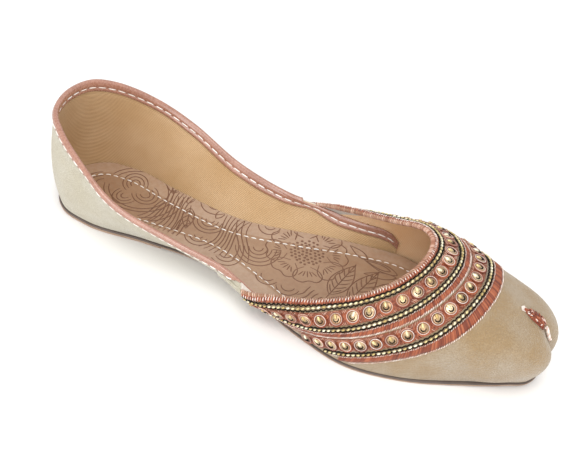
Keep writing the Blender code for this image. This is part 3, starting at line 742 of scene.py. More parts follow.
def binding():
    half = np.linspace(0.0, QUARTER_END, 300)
    half = np.unique(np.concatenate([half, [OUTER_LEG_FADE, OUTER_LEG_END, TUCK_END, 0.64, 0.65]]))
    ring = np.concatenate([-half[:0:-1], half])
    share = half_share(ring)
    height = quarter_height(ring)
    fade = ramp(share, OUTER_LEG_FADE, OUTER_LEG_END)
    tuck = ramp(share, OUTER_LEG_END, TUCK_END)
    inner, outer = inner_leg(height), BINDING_OUTSIDE * (1 - fade)
    far = CLEARANCE + BINDING_THICKNESS
    tucked = -LAP - 1.2 * CLEARANCE
    outer_far = far * (1 - tuck) + tucked * tuck
    outer_near = CLEARANCE * (1 - tuck) + (tucked - 0.0001) * tuck
    inner_far, inner_near = -EDGE_WALL - far, -EDGE_WALL - CLEARANCE
    middle, radius = (outer_far + inner_far) / 2, (outer_far - inner_far) / 2
    crest = far - radius * 0.92
    rows = []
    for k in range(9):
        up = k / 8
        puff = 0.0
        if up > 1 - OUTER_STITCH:
            puff = 0.00020 * math.sin(math.pi * min(1.0, (1 - up) / OUTER_STITCH))
        groove = 0.00012 * math.exp(-((1 - up - OUTER_STITCH) / 0.10) ** 2)
        rows.append((-outer * (1 - up) + crest * up, outer_far + (puff - groove) * (1 - fade)))
    for k in range(1, 14):
        turn = math.pi * k / 14
        rows.append((crest + radius * 0.92 * math.sin(turn), middle + radius * math.cos(turn)))
    for k in range(17):
        down = k / 16
        cell = down / INNER_STITCH if down < INNER_STITCH else (down - INNER_STITCH) / (1 - INNER_STITCH)
        puff = 0.00032 * math.sin(math.pi * cell) ** 0.8
        groove = 0.00014 * math.exp(-((down - INNER_STITCH) / 0.05) ** 2)
        rows.append((crest * (1 - down) - inner * down, inner_far - puff + groove))
    rows.append((-inner, inner_near))
    for k in range(1, 4):
        rows.append((-inner * (1 - k / 3) - 0.0003, inner_near))
    rows.append((CLEARANCE * 0.6, (inner_near + outer_near) / 2))
    rows += [(-0.0003, outer_near), (-outer, outer_near)]
    heights = np.stack([height + r[0] for r in rows], axis=1)
    lifts = np.stack([r[1] + 0.0 * height for r in rows], axis=1)
    around = heights.shape[1]
    faces = capped(len(ring), around)
    line = np.arange(len(faces) - 2) % around
    soup = Soup()
    soup.add(skin(ring[:, None], heights, lifts), faces, list(np.where(line >= around - 8, 1, 0)) + [0, 0])
    piece = soup.build("binding_leather", [BINDING, EDGE_DARK], wall_place(ring, heights, lifts), sharp=70.0)
    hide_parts("collar_binding")

    stitches = Soup()
    shares = np.linspace(-QUARTER_END + 0.004, QUARTER_END - 0.004, 2400)
    # Columns: side, furthest place, lift, stitch pitch and length
    for sign, limit, lift, pitch, dash in (
            (-1.0, QUARTER_END - 0.008, inner_far - 0.00006, 0.0050, 0.0042),
            (1.0, OUTER_LEG_FADE + 0.018, far + 0.00004, 0.0044, 0.0036)):
        places = shares[np.abs(shares) < limit]
        top = quarter_height(places)
        if sign < 0:
            drop = inner_leg(top) * INNER_STITCH
        else:
            drop = BINDING_OUTSIDE * OUTER_STITCH * (1 - ramp(np.abs(places), OUTER_LEG_FADE, OUTER_LEG_END))
        travel = travel_along(skin(places, top - drop, lift))
        count = int(travel[-1] / pitch)
        s = np.linspace(-0.5, 0.5, 7) * dash + (np.arange(count)[:, None] + 0.5) * travel[-1] / count
        s = s + random.normal(0, 0.00008, (count, 1))
        ring = np.interp(s, travel, places)
        height = quarter_height(ring) - np.interp(ring, places, drop)
        sink = np.array([-0.00022, 0.00004, 0.00010, 0.00012, 0.00010, 0.00004, -0.00022])
        wide = np.array([0.5, 0.9, 1.0, 1.0, 1.0, 0.9, 0.5]) * 0.00034
        lay(stitches, ring, height, lift + sign * sink, wide, 0, random.uniform(0.3, 1.0, count), sides=6,
            flat=0.6, sign=sign)
    piece = stitches.build("binding_stitches", [WHITE])

    # A dark thread under the binding's outer leg: partly its raw cut edge, partly painted shadow under the
    # leg.
    edge = Soup()
    places = np.linspace(-OUTER_LEG_END + 0.012, OUTER_LEG_END - 0.012, 700)
    drop = BINDING_OUTSIDE * (1 - ramp(np.abs(places), OUTER_LEG_FADE, OUTER_LEG_END)) + 0.00012
    lay(edge, places, quarter_height(places) - drop, 0.00022, 0.00026, sides=6)
    piece = edge.build("binding_edge_and_shadow_line", [EDGE_DARK])


# ---- embroidery


def satin(soup, start, stop, mark, pitch=0.00042):
    """Threads laid side by side across a band, each a rounded ridge, slightly uneven at the ends."""
    line = Line((start + stop) / 2)
    wide = stop - start
    count = int(line.length / pitch)
    which = np.arange(count * 4) // 4
    s = (np.arange(count * 4) / 4 + 0.125) * line.length / count
    phase = np.tile([0.1, 0.8, 1.0, 0.7], count)[:, None]
    across = np.linspace(0.0, 1.0, 6)
    ends = random.normal(0.0, 0.05, (count, 2))[which] + np.array([0.0, 1.0])
    uneven = random.normal(0.0, 0.00004, count)[which][:, None]
    v = ends[:, :1] + (ends[:, 1:] - ends[:, :1]) * across
    ring = line.at(np.clip(s[:, None] + 0.35 * (v - 0.5) * wide, 0.0, line.length))
    crown = np.sqrt(np.clip(1 - (2 * across - 1) ** 2, 0.0, 1.0))
    top = OUT + 0.00012 + 0.00042 * crown + 0.00016 * phase * (0.3 + 0.7 * crown) + uneven
    drop = start + v * wide
    rings = [throat_skin(ring, drop, top), throat_skin(ring, drop, OUT - 0.0001)[:, [-1, 0]]]
    rings = np.concatenate(rings, axis=1)
    tone = np.repeat(random.uniform(0.0, 1.0, count)[which], rings.shape[1])
    soup.add(rings, capped(*rings.shape[:2]), mark, tone)


def stitches_across(soup, start, stop, mark, pitch, radius, lean, lift=OUT + 0.0002, rise=0.0004):
    """Single stitches across a band, leaning one way."""
    line = Line((start + stop) / 2)
    s = line.even(pitch)
    count = len(s)
    v = np.linspace(0.0, 1.0, 5)
    wide = stop - start
    drop = start + v * wide + random.normal(0, 0.00008, (count, 1))
    ring = line.at(np.clip(s[:, None] + lean * (v - 0.5) * wide, 0.0, line.length))
    arc = np.array([-0.25, 0.75, 1.0, 0.75, -0.25])
    lifts = lift + rise * arc + random.normal(0, 0.00005, (count, 1))
    thick = np.array([0.6, 1.0, 1.0, 1.0, 0.6]) * radius
    lay(soup, ring, vamp_height(ring) - drop, lifts, thick, mark, random.uniform(0.0, 1.0, count), sides=4)


def chain(soup, middle, black, gold, pitch=0.00235):
    """Rice-grain beads of gold between two wavy dark cords."""
    line = Line(middle)
    s = line.even(pitch)
    count = len(s)
    lift = OUT + 0.00045
    origin, axes = line.axes(s, lift + 0.00024, 0.26 + random.normal(0, 0.12, count))
    grain = ellipsoid(0.00052, 0.00092, 0.00056, 10, 7)
    soup.stamp(grain, origin, axes, gold, random.uniform(0.0, 1.0, count))
    t = np.arange(count * 12 + 1) / 12
    ring = line.at(t * line.length / count)
    for side in (1.0, -1.0):
        tooth = np.mod(3 * t + 0.25 * side, 1.0) - 0.5
        away = side * (0.00092 - 0.00022 * np.cos(2 * math.pi * t))
        drop = middle - away + 0.00020 * tooth + random.normal(0, 0.00004, len(t))
        thick = 0.00028 * (1.0 + 0.30 * np.cos(6 * math.pi * t)) * random.uniform(0.88, 1.10, len(t))
        lay(soup, ring, vamp_height(ring) - drop, lift - 0.00005, thick, black, 0.30, sides=7)


def bands():
    # Single stitches: pitch, radius, lean, lift, rise. The painted glints are pale stitches that paint the
    # satin's highlight.
    stitches = {
        "painted_glint": (0.00130, 0.00026, 0.25, OUT + 0.00062, 0.0002),
        "zari": (0.00105, 0.00015, 1.6, OUT + 0.00055, 0.0004),
        "thick": (0.00120, 0.00024, 1.6, OUT + 0.0002, 0.0003),
    }
    # Band, parts: kind, start and stop below the throat's edge. A chain has only its middle.
    table = [
        # The pale stitches over the throat's satin paint its highlight.
        ("throat", (("satin", 0.0010, 0.0031), ("painted_glint", 0.0012, 0.0024), ("chain", 0.0044, 0.0))),
        ("middle", (("chain", 0.0144, 0.0), ("satin", 0.0158, 0.0185), ("zari", 0.0157, 0.0162),
                    ("thick", 0.0181, 0.0190))),
        ("outer", (("chain", 0.0287, 0.0), ("satin", 0.0301, 0.0345), ("zari", 0.0300, 0.0305),
                   ("thick", 0.0343, 0.0350))),
    ]
    for name, parts in table:
        soup = Soup()
        for kind, start, stop in parts:
            if kind == "satin":
                satin(soup, start, stop, 0)
            elif kind == "chain":
                chain(soup, start, 1, 2)
            else:
                stitches_across(soup, start, stop, 3, *stitches[kind])
        piece = soup.build(name + "_embroidery", [COPPER, BLACK, GOLD, ZARI_AND_HIGHLIGHT])
        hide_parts(name + "_trim")


def rim_threads():
    """Whipping over the throat's edge, and short pale stitches inside the wings."""
    soup = Soup()
    line = Line(0.0005)
    # One whipping stitch from outside to inside: distance below the edge, lift
    stitch = np.array([(0.0016, OUT + 0.00002), (0.0011, OUT + 0.00022), (0.0006, OUT + 0.00018),
                       (0.0001, OUT - 0.0001), (-0.00022, 0.0002), (0.0001, -LAP + 0.0001),
                       (0.0008, -LAP - 0.00016), (0.0015, -LAP + 0.0001)])
    s = line.even(0.00100)
    along = s[:, None] + 0.0008 * np.linspace(-0.5, 0.5, len(stitch))
    ring = line.at(np.clip(along, 0, line.length))
    path = throat_skin(ring, stitch[:, 0], stitch[:, 1])
    centre = throat_skin(ring, 0.0007, 0.0002)
    add_tubes(soup, path, path - centre, 0.00028, 0, random.uniform(0.3, 1.0, len(s)), sides=6)
    s = line.even(0.0017)
    along = s[:, None] + 0.0006 * np.linspace(-0.5, 0.5, 4)
    ring = line.at(np.clip(along, 0, line.length))
    drop = np.linspace(0.0009, 0.0021, 4) + random.normal(0, 0.0001, (len(s), 1))
    lifts = -LAP - np.array([-0.0001, 0.00022, 0.00022, -0.0001])
    lay(soup, ring, vamp_height(ring) - drop, lifts, 0.00026, 1, random.uniform(0.4, 1.0, len(s)), sign=-1.0)
    piece = soup.build("rim_threads", [ROSE, ZARI_AND_HIGHLIGHT])


def sequin_row(name, start, stop, pitch, arc_tube):
    soup = Soup()
    line = Line((start + stop) / 2)
    s = line.even(0.0006)
    drop = np.linspace(start, stop, 13)
    ring = line.at(s)[:, None] + 0.0 * drop
    rough = random.uniform(0.0, 1.0, ring.size).reshape(ring.shape)
    lift = OUT + 0.00010 + 0.00026 * rough
    lift[:, [0, -1]] = OUT - 0.0001
    under = throat_skin(ring[:, [-1, 0]], drop[[-1, 0]], OUT - 0.00030)
    rings = np.concatenate([throat_skin(ring, drop, lift), under], axis=1)
    tone = np.concatenate([rough, rough[:, :2]], axis=1)
    soup.add(rings, capped(*rings.shape[:2]), 3, tone)
    for low, high, lean in ((start + 0.0002, start + 0.0018, 0.7), (stop - 0.0020, stop - 0.0002, -0.7)):
        stitches_across(soup, low, high, 0, 0.00080, 0.00015, lean)
    s = line.even(pitch)
    s = s[(s > pitch * 0.45) & (s < line.length - pitch * 0.45)]
    count = len(s)
    turn = random.normal(0.0, 0.25, count)
    tones = random.uniform(0.0, 1.0, count)
    origin, axes = line.axes(s, OUT + 0.0006, turn)
    tilt = axes.copy()
    lean = random.normal(0.0, 0.07, (count, 2))
    tilt[:, 0] = unit(tilt[:, 0] + tilt[:, 2] * lean[:, :1])
    tilt[:, 1] = unit(tilt[:, 1] + tilt[:, 2] * lean[:, 1:])
    tilt[:, 2] = np.cross(tilt[:, 0], tilt[:, 1])
    soup.stamp(ellipsoid(0.0026, 0.0026, 0.00042, 24, 6), origin, tilt, 1, tones)
    # Wound rings and arcs: radius, tube, start and turn in degrees, bumps, shift to the throat, rise, mark
    wound = [
        (0.00292, 0.00026, 0, 360, 22, 0.0, 0.00004, 3), (0.00214, 0.00014, 0, 360, 18, 0.0, 0.00028, 3),
        (0.00260, 0.00014, 0, 360, 18, 0.0, 0.00022, 2), (0.00328, 0.00030, 100, 160, 14, 0.0, 0.0, 3),
        (0.00326, 0.00020, -60, 120, 12, 0.0, 0.0, 0), (0.00112, arc_tube, 72, 216, 9, -0.0001, 0.00036, 5),
    ]
    for *shape, shift, rise, mark in wound:
        place = origin + axes[:, 0] * shift + axes[:, 2] * rise
        soup.stamp(torus(*shape), place, axes, mark, random.uniform(0.0, 1.0, count))
    bead = ellipsoid(0.00135, 0.00072, 0.00062, 12, 8)
    soup.stamp(bead, origin + axes[:, 0] * 0.00105 + axes[:, 2] * 0.00042, axes, 4, tones[::-1])
    piece = soup.build(name, [ROSE, SEQUIN, ZARI_AND_HIGHLIGHT, COPPER, BEAD, BLACK])


# ---- toe fan and cord


def toe_ring(across, height):
    """Ring place at a distance across the toe's middle line, at a height up the column."""
    step = 0.002
    middle = np.ones(np.shape(height))
    half = np.linalg.norm(skin(middle + step, height, OUT) - skin(middle, height, OUT), axis=-1) / step
    return 1.0 + across / half


def fan_half(t):
    """Half width of the toe fan at a share of its length."""
    return FAN_WIDTH / 2 * (0.10 + 0.90 * np.sin(np.pi * (0.02 + 0.70 * (1 - t))))


def toe_fan():
    front = column_length(1.0) - FAN_FROM_THROAT
    soup = Soup()
    count = 19
    t = np.linspace(0.0, 1.0, 12)
    side = np.linspace(-1.0, 1.0, count)[:, None]
    for layer in range(3):
        height = front + t * FAN_LENGTH * (1 - 0.06 * layer) + 0.0 * side
        crown = (1 - 0.75 * side ** 2) * np.sin(np.pi * (0.10 + 0.80 * t))
        lift = OUT + 0.00024 + (0.00080 + 0.00022 * layer) * crown + random.normal(0, 0.00010, (count, 1))
        ring = toe_ring(side * fan_half(t) * (1.0 - 0.14 * layer), height)
        thick = 0.00023 * random.uniform(0.75, 1.25, (count, 1))
        lay(soup, ring, height, lift, thick, 0, random.uniform(0.0, 1.0, count), sides=6)
    knots = 60
    t, v = random.uniform(0.04, 0.84, knots), random.uniform(-1.0, 1.0, knots)
    height = front + t * FAN_LENGTH
    lift = OUT + 0.0005 + 0.00125 * (1 - 0.7 * v ** 2) * np.sin(np.pi * (0.10 + 0.80 * t))
    ring = toe_ring(fan_half(t) * v * 1.04, height)
    origin = skin(ring, height, lift)
    up = unit(skin(ring, height + 0.0004, lift) - skin(ring, height - 0.0004, lift))
    out = unit(skin(ring, height, lift + 0.001) - origin)
    side = np.cross(out, up)
    turn = (0.7 * v + random.normal(0.0, 0.5, knots))[:, None]
    ahead = up * np.cos(turn) + side * np.sin(turn)
    axes = np.stack([ahead, side * np.cos(turn) - up * np.sin(turn), out], axis=1)
    for mark, low, high in ((0, 0, 48), (1, 48, knots)):
        soup.stamp(ellipsoid(0.00105, 0.00030, 0.00034, 8, 6), origin[low:high], axes[low:high], mark,
                   random.uniform(0.0, 1.0, high - low))
    for v in np.linspace(-1.0, 1.0, 9):
        height = front + FAN_LENGTH * np.linspace(0.90 - 0.05 * abs(v), 1.10 + 0.06 * (1 - abs(v)), 5)
        ring = toe_ring(np.linspace(v * 0.0008, v * 0.0014, 5), height)
        lay(soup, ring, height, OUT + np.linspace(0.0003, 0.00022, 5), 0.00014, 1, 0.8)
    piece = soup.build("toe_fan_threads", [COPPER, ZARI_AND_HIGHLIGHT])
    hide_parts("toe_fan")

    cord = Soup()
    t, middle = np.linspace(0.0, 1.0, 60), np.ones(60)
    height = front - 2 * CLEARANCE - CORD_LENGTH * t
    centre = skin(middle, height, OUT + CORD_DIAMETER / 2 + 1.5 * CLEARANCE)
    out = unit(skin(middle, height, OUT + 0.002) - skin(middle, height, OUT))
    side = np.cross(unit(np.gradient(centre, axis=0)), out)
    thick = np.full(60, 0.00046)
    thick[[0, -1]] = 0.00025
    for strand in range(3):
        a = 2 * math.pi * (t * CORD_LENGTH / 0.0030 + strand / 3)[:, None]
        path = centre + 0.00043 * (out * np.cos(a) + side * np.sin(a))
        add_tubes(cord, path[None], out[None], thick, 0, 0.35 + 0.3 * strand, sides=8)
    piece = cord.build("toe_cord_twist", [ZARI_AND_HIGHLIGHT])
    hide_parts("toe_cord")


# ---- sole and insole


def ends_close(back, low, middle, high, front):
    """Shares of the half outline, closer together at the heel and the toe."""
    return np.unique(np.concatenate([np.linspace(0, low, back), np.linspace(low, high, middle),
                                     np.linspace(high, 1.0, front)]))


def mirrored_body(name, grid, marks, materials, sharp):
    """One body from rows of points of its left half. The marks go once round each row."""
    rings = np.concatenate([grid, grid[:, ::-1] * np.array([1.0, -1.0, 1.0])], axis=1)
    faces = loft_faces(*rings.shape[:2])
    soup = Soup()
    soup.add(rings, faces.tolist(), np.array(marks)[np.arange(len(faces)) % rings.shape[1]])
    piece = soup.build(name, materials, sharp=sharp)
    work = bmesh.new()
    work.from_mesh(piece.data)
    bmesh.ops.remove_doubles(work, verts=work.verts, dist=0.00001)
    bmesh.ops.holes_fill(work, edges=work.edges, sides=0)
    work.to_mesh(piece.data)
    work.free()
    return piece


def outsole():
    shares = ends_close(50, 0.15, 130, 0.9, 50)
    breast = np.interp(HEEL_BREAST * LENGTH, sole_point(shares)[:, 0], shares)
    shares = np.sort(np.append(shares, [breast, breast]))
    on_heel = np.arange(len(shares)) <= np.searchsorted(shares, breast)
    rise = sole_rise(sole_point(shares)[:, 0])
    under = np.where(on_heel, 0.0, rise)
    # The edge's upper half, marked 0, is a band of painted shadow under the upper.
    # inset in metres, share of the edge's height, mark of the face above
    profile = [(0.0060, 1.0, 0), (0.0010, 1.0, 0), (0.00025, 0.97, 0), (0.0, 0.88, 0),
               (0.0, 0.62, 0), (0.00030, 0.54, 0), (0.00030, 0.48, 1), (0.00004, 0.40, 1),
               (0.00004, 0.16, 1), (0.00025, 0.04, 1), (0.0007, 0.0, 2), (0.0060, 0.0, 2)]
    grid = []
    for inset, level, mark in profile:
        outline = sole_point(shares, np.full(len(shares), inset))
        outline[:, 0] += HEEL_X
        outline[:, 1] = np.maximum(outline[:, 1], 0.0)
        outline[[0, -1], 1] = 0.0
        grid.append(np.column_stack([outline, under + (SOLE_THICKNESS + rise - under) * level]))
    marks = [p[2] for p in profile][1:]
    piece = mirrored_body("sole_leather", np.stack(grid, axis=1), marks + [2] + marks[::-1] + [0],
                          [SOLE_EDGE_SHADOW, SOLE_TAN, SOLE_UNDER], 50.0)
    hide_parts("outsole")


def insole():
    shares = ends_close(40, 0.15, 120, 0.88, 40)
    inside = -(WALL + 2.0 * CLEARANCE)

    def flat(inset, height):
        outline = sole_point(shares, np.full(len(shares), inset))
        z = SOLE_THICKNESS + sole_rise(outline[:, 0]) + CLEARANCE + height
        return np.column_stack([outline[:, 0] + HEEL_X, np.maximum(outline[:, 1], 0.0), z])

    crest = skin(shares, np.full(len(shares), INSOLE_CURL), inside)
    under = skin(shares, np.full(len(shares), INSOLE_CURL - 0.6 * INSOLE_THICKNESS), inside)
    edge = flat(INSOLE_ROOM + INSOLE_MARGIN, INSOLE_THICKNESS)
    rows = [edge * np.array([1.0, part, 1.0]) for part in (0.0, 0.25, 0.5, 0.75, 1.0)]
    for k in range(1, 11):
        part = k / 10
        bend = part ** 2.6
        point = edge * (1 - part) + crest * part
        point[:, 2] = edge[:, 2] * (1 - bend) + crest[:, 2] * bend + 0.0004 * math.sin(math.pi * part)
        rows.append(point)
    rows += [under, flat(INSOLE_ROOM + 0.3 * INSOLE_MARGIN, 0.0003), flat(INSOLE_ROOM + INSOLE_MARGIN, 0.0)]
    marks = [0] * 6 + [1] * 9 + [0, 0]
    grid = np.stack(rows, axis=1)
    grid[[0, -1], :, 1] = 0.0
    piece = mirrored_body("insole_leather", grid, marks + [0] + marks[::-1] + [0], [INSOLE, MARGIN], 60.0)
    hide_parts("insole")
    return piece


class Bed:
    """The insole's top, on which lines drawn in plan are laid."""

    def __init__(self, piece):
        mesh = piece.data
        points = [tuple(v.co) for v in mesh.vertices]
        self.tree = BVHTree.FromPolygons(points, [tuple(p.vertices) for p in mesh.polygons])

    def drop(self, x, y):
        place, normal, _, _ = self.tree.ray_cast(Vector((x, y, 0.03)), Vector((0.0, 0.0, -1.0)))
        return (None, None) if place is None or normal.z < 0.35 else (place, normal)

    def runs(self, line, step=0.0007):
        """The stretches of a plan line that lie on the insole, as points and normals."""
        travel = travel_along(line)
        s = np.linspace(0.0, travel[-1], max(3, int(travel[-1] / step) + 1))
        run, out = [], []
        for x, y in zip(np.interp(s, travel, line[:, 0]), np.interp(s, travel, line[:, 1])):
            place, normal = self.drop(x, y)
            if place is not None:
                run.append((tuple(place), tuple(normal)))
            elif run:
                out.append(run)
                run = []
        return [np.array(r) for r in out + [run] if len(r) > 2]


# The tooling's motifs are drawn in plan, in millimetres from the model's origin


def turned(points, x, y, degrees):
    c, s = math.cos(math.radians(degrees)), math.sin(math.radians(degrees))
    points = np.asarray(points, float)
    return np.column_stack([x + points[:, 0] * c - points[:, 1] * s, y + points[:, 0] * s + points[:, 1] * c])


def leaf(x, y, degrees, length, width, veins):
    """Outline, midrib and curved veins of a leaf whose stalk starts at x, y."""
    t = np.linspace(0.0, 1.0, 26)
    half = width / 2 * np.sin(np.pi * t ** 0.8)
    lines = [np.column_stack([t * length, half]), np.column_stack([t * length, -half]),
             np.column_stack([np.linspace(-0.12, 0.92, 12) * length, np.zeros(12)])]
    v = np.linspace(0.0, 1.0, 8)
    for k in range(veins):
        root = (k + 0.6) / (veins + 0.6)
        reach = width / 2 * math.sin(math.pi * min(1.0, root + 0.12) ** 0.8) * 0.82
        for side in (1, -1):
            lines.append(np.column_stack([root * length + 0.16 * length * v ** 1.4, side * reach * v]))
    return [turned(line, x, y, degrees) for line in lines]


def petal(x, y, degrees, length, width, veins):
    """A lobed petal whose base is at x, y, with short veins near its rim."""
    outline = np.array([(0.10, 0.12), (0.35, 0.46), (0.70, 0.56), (0.96, 0.34), (0.90, 0.06), (1.0, -0.22),
                        (0.78, -0.54), (0.38, -0.48), (0.10, -0.12)]) * (length, width)
    keys = travel_along(outline)
    lines = [smooth_rows(keys, outline, np.linspace(0.0, keys[-1], 40))]
    for k in range(veins):
        v = (k + 0.5) / veins * 2 - 1
        start, stop = 0.34 + 0.05 * abs(v), 0.70 - 0.12 * abs(v)
        t = np.linspace(start, stop, 8)
        lines.append(np.column_stack([t * length, v * width * (0.20 + 0.24 * (t - start) / (stop - start))]))
    return [turned(line, x, y, degrees) for line in lines]


def drops(x, y, degrees, length, width):
    t = np.linspace(0.0, 1.0, 20)
    half = width / 2 * np.sin(np.pi * t) ** 0.8 * (0.4 + 0.6 * t)
    outline = np.column_stack([t * length, half])
    return [turned(np.concatenate([outline, (outline * (1, -1))[::-1]]), x, y, degrees)]


def nest(x, y, degrees, first, gap, count, sweep):
    """Arcs one inside another, as in the eye of a feather."""
    angle = np.radians(np.linspace(-sweep / 2, sweep / 2, 26))
    arc = np.column_stack([1.15 * np.cos(angle), np.sin(angle)])
    return [turned((first + gap * k) * arc, x, y, degrees) for k in range(count)]


def stalks(x, y, degrees, length, count, gap, splay):
    """Stalks side by side that part towards both of their ends."""
    t = np.linspace(-0.5, 0.5, 22)
    sway = 0.04 * length * np.sin(2 * math.pi * t)
    return [turned(np.column_stack([t * length, k * (gap + splay * (2 * t) ** 2) + sway]), x, y, degrees)
            for k in np.arange(count) - (count - 1) / 2]


FLOWER = (3.5, 14.0)
# Kind, then rows of x, y, degrees and the kind's own sizes
MOTIFS = [
    # first radius, gap, count, sweep
    (nest, [
        (-18.5, 4.5, -68, 2.4, 2.2, 5, 176), (-20.0, 21.5, -90, 3.0, 3.0, 2, 150),
        (-47.5, 9.0, -82, 2.2, 2.1, 4, 176), (-47.0, -3.5, -78, 2.2, 2.4, 3, 150),
        (-50.0, 23.0, -92, 3.0, 3.0, 3, 140), (-89.0, 9.0, 0, 13.6, 2.2, 2, 330),
        (-93.0, 12.5, 130, 2.4, 2.0, 3, 250), (-84.5, 8.0, -40, 2.4, 2.1, 3, 230),
        (-92.5, 2.0, -110, 2.0, 2.0, 3, 200), (-89.0, 9.0, -20, 19.0, 2.4, 2, 84),
        (-6.0, -10.0, -95, 3.4, 2.4, 2, 150), (5.0, -11.0, -80, 3.4, 2.4, 2, 150),
        (-30.0, -8.0, -60, 3.0, 2.4, 3, 130), (-106.0, 4.0, 200, 4.0, 2.6, 3, 150),
        (48.0, -6.0, 20, 3.0, 2.4, 4, 170), (70.0, 6.0, 10, 3.0, 2.4, 4, 170),
    ]),
    # length, count, gap, splay
    (stalks, [
        (-35.5, 4.5, 88, 32.0, 6, 1.6, 1.2), (-66.5, 6.0, 92, 34.0, 7, 1.7, 1.0),
        (-74.0, 1.0, 74, 20.0, 3, 2.0, 0.8), (-27.0, 4.0, 112, 28.0, 3, 2.2, 1.6),
        (19.0, -13.0, 66, 9.0, 6, 2.4, 0.4), (-58.0, -4.0, 84, 13.0, 3, 1.8, 1.0),
    ]),
    # length, width, veins
    (leaf, [
        (24.0, -6.0, 82, 25.0, 10.5, 7), (33.5, -6.0, 78, 27.0, 10.0, 7), (22.0, -20.0, 50, 26.0, 10.0, 7),
        (-60.0, 11.0, -70, 15.0, 6.0, 4), (56.0, 2.0, 12, 30.0, 14.0, 7), (92.0, 1.0, 2, 18.0, 10.0, 4),
        (-79.0, 26.0, -60, 12.0, 6.0, 4),
    ]),
    # length, width
    (drops, [
        (29.0, 25.5, -6, 19.0, 7.4), (31.0, 25.0, -4, 13.0, 4.4), (33.0, 16.0, 20, 16.0, 6.0),
        (40.0, 8.0, 40, 14.0, 5.4), (-44.0, 20.0, -100, 9.0, 5.0), (-62.0, 24.0, -96, 11.0, 5.0),
        (-70.0, 26.0, -110, 11.0, 5.0), (20.0, 30.0, -20, 12.0, 5.0),
    ]),
]


def tooling(bed):
    """Common leaf and flower tooling of the insole, as darker pressed lines."""
    lines = []
    for degrees in range(205, 565, 45):
        a = math.radians(degrees)
        lines += petal(FLOWER[0] + 8.6 * math.cos(a), FLOWER[1] + 8.6 * math.sin(a), degrees, 11.8, 12.8, 5)
    for kind, rows in MOTIFS:
        for row in rows:
            lines += kind(*row)
    soup = Soup()
    for line in lines:
        for run in bed.runs(line / 1000):
            path, normal = run[None, :, 0], run[None, :, 1]
            width = 0.00036 * (0.55 + 0.45 * np.sin(np.pi * np.linspace(0.0, 1.0, len(run))) ** 0.5)
            add_tubes(soup, path - normal * 0.00003, normal, width, sides=6, flat=0.34)
    dots = []
    for i in range(-6, 7):
        for j in range(-6, 7):
            x, y = (i + 0.5 * (j % 2)) * 0.00225, j * 0.00195
            if math.hypot(x, y) < 0.0084:
                jitter = random.normal(0, 0.00018, 2)
                dots.append((FLOWER[0] / 1000 + x + jitter[0], FLOWER[1] / 1000 + y + jitter[1]))
    dot = ellipsoid(0.00072, 0.00072, 0.00014, 9, 4)
    for x, y in dots:
        place, _ = bed.drop(x, y)
        if place is not None:
            soup.add(dot[0] + np.array(place), dot[1])
    piece = soup.build("insole_tooling", [TOOLING])


def insole_stitches(bed):
    ring = np.linspace(0.03, 0.985, 900)
    outline = sole_point(ring, np.full(len(ring), INSOLE_ROOM + INSOLE_MARGIN - 0.0004))
    outline[:, 0] += HEEL_X
    outline[:, 1] = np.maximum(outline[:, 1], 0.0)
    path = np.vstack([outline, outline[::-1] * np.array([1.0, -1.0])])
    travel = travel_along(path)
    pitch, dash = 0.0039, 0.0029
    count = int(travel[-1] / pitch)
    rise = np.array([-0.00018, 0.0001, 0.00018, 0.00018, 0.0001, -0.00018])[:, None]
    thick = np.array([0.5, 0.9, 1.0, 1.0, 0.9, 0.5]) * 0.00030
    soup = Soup()
    for k in range(count):
        s = (k + 0.5) * travel[-1] / count + np.linspace(-0.5, 0.5, 6) * dash
        x, y = np.interp(s, travel, path[:, 0]), np.interp(s, travel, path[:, 1])
        hits = [bed.drop(a, b) for a, b in zip(x, y)]
        if any(place is None for place, _ in hits):
            continue
        line, normal = np.array([(tuple(place), tuple(up)) for place, up in hits]).transpose(1, 0, 2)
        tone = random.uniform(0.3, 1.0)
        add_tubes(soup, (line + normal * rise)[None], normal[None], thick, 0, tone, sides=6, flat=0.7)
    piece = soup.build("insole_stitches", [WHITE])


# ---- floor, light and camera


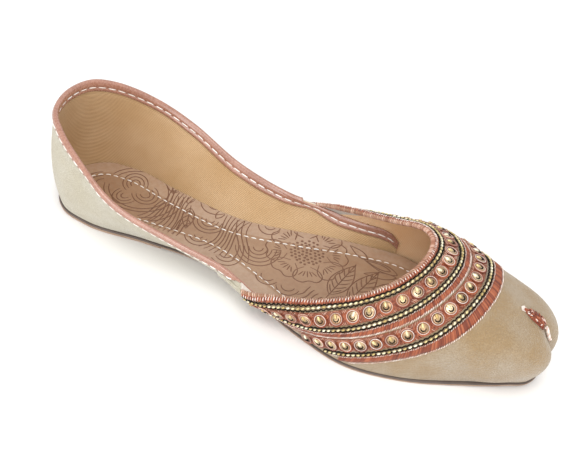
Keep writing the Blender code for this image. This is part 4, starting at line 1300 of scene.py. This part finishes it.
def stage():
    mesh = bpy.data.meshes.new("floor")
    reach = 3.0
    corners = [(-reach, -reach, 0), (reach, -reach, 0), (reach, reach, 0), (-reach, reach, 0)]
    mesh.from_pydata(corners, [], [(0, 1, 2, 3)])
    floor = bpy.data.objects.new("floor", mesh)
    bpy.context.scene.collection.objects.link(floor)
    look = Look("floor_white", 0.9)
    look.colour(look.mix(look.noise(1.2, 2.0), linear(240, 239, 238), linear(244, 243, 242)))
    mesh.materials.append(look.material)
    world = bpy.data.worlds.new("studio")
    bpy.context.scene.world = world
    world.use_nodes = True
    world.node_tree.nodes["Background"].inputs["Color"].default_value = (1.0, 1.0, 1.0, 1.0)
    world.node_tree.nodes["Background"].inputs["Strength"].default_value = 1.0
    # Soft boxes aimed at the shoe: place, size in metres, power in watts, colour
    lights = [
        ("key", (0.10, -0.35, 0.95), 0.45, 4.0, (1.0, 0.99, 0.97)),
        ("fill", (0.15, -1.00, 0.40), 0.70, 5.0, (0.98, 0.99, 1.0)),
    ]
    for name, place, size, power, colour in lights:
        data = bpy.data.lights.new(name, "AREA")
        data.energy, data.size, data.color = power, size, colour
        lamp = bpy.data.objects.new(name, data)
        lamp.location = place
        lamp.rotation_euler = (Vector((0.0, 0.0, 0.02)) - Vector(place)).to_track_quat("-Z", "Y").to_euler()
        bpy.context.scene.collection.objects.link(lamp)


def camera():
    """The photograph's own viewpoint and roll, turned a little towards the shoe's middle."""
    azimuth, elevation, roll = math.radians(13.75), math.radians(48.89), math.radians(12.85)
    target = Vector((0.0360, -0.0420, 0.0))
    distance, photo_length = 0.429, 1100.0
    away = math.cos(elevation)
    back = Vector((math.sin(azimuth) * away, -math.cos(azimuth) * away, math.sin(elevation)))
    level = Vector((math.cos(azimuth), math.sin(azimuth), 0.0))
    right = math.cos(roll) * level + math.sin(roll) * back.cross(level)
    up = back.cross(right)
    aim = Vector(((250.0 - 288.5) / photo_length, (231.5 - 84.0) / photo_length, -1.0))
    new_back = -(right * aim.x + up * aim.y + back * aim.z).normalized()
    new_right = (right - new_back * right.dot(new_back)).normalized()
    view = Matrix((new_right, new_back.cross(new_right), new_back)).transposed().to_4x4()
    view.translation = target + distance * back
    data = bpy.data.cameras.new("camera")
    data.sensor_width = 36.0
    data.lens = 60.0
    data.clip_start = 0.01
    item = bpy.data.objects.new("camera", data)
    item.matrix_world = view
    bpy.context.scene.collection.objects.link(item)
    bpy.context.scene.camera = item
    bpy.context.scene.view_settings.view_transform = "Standard"


camera()
stage()
upper_cloth()
binding()
outsole()
bed = Bed(insole())
tooling(bed)
insole_stitches(bed)
bands()
rim_threads()
sequin_row("sequin_row_rear", 0.0058, 0.0128, 0.0072, 0.00031)
sequin_row("sequin_row_front", 0.0192, 0.0270, 0.0070, 0.00038)
toe_fan()
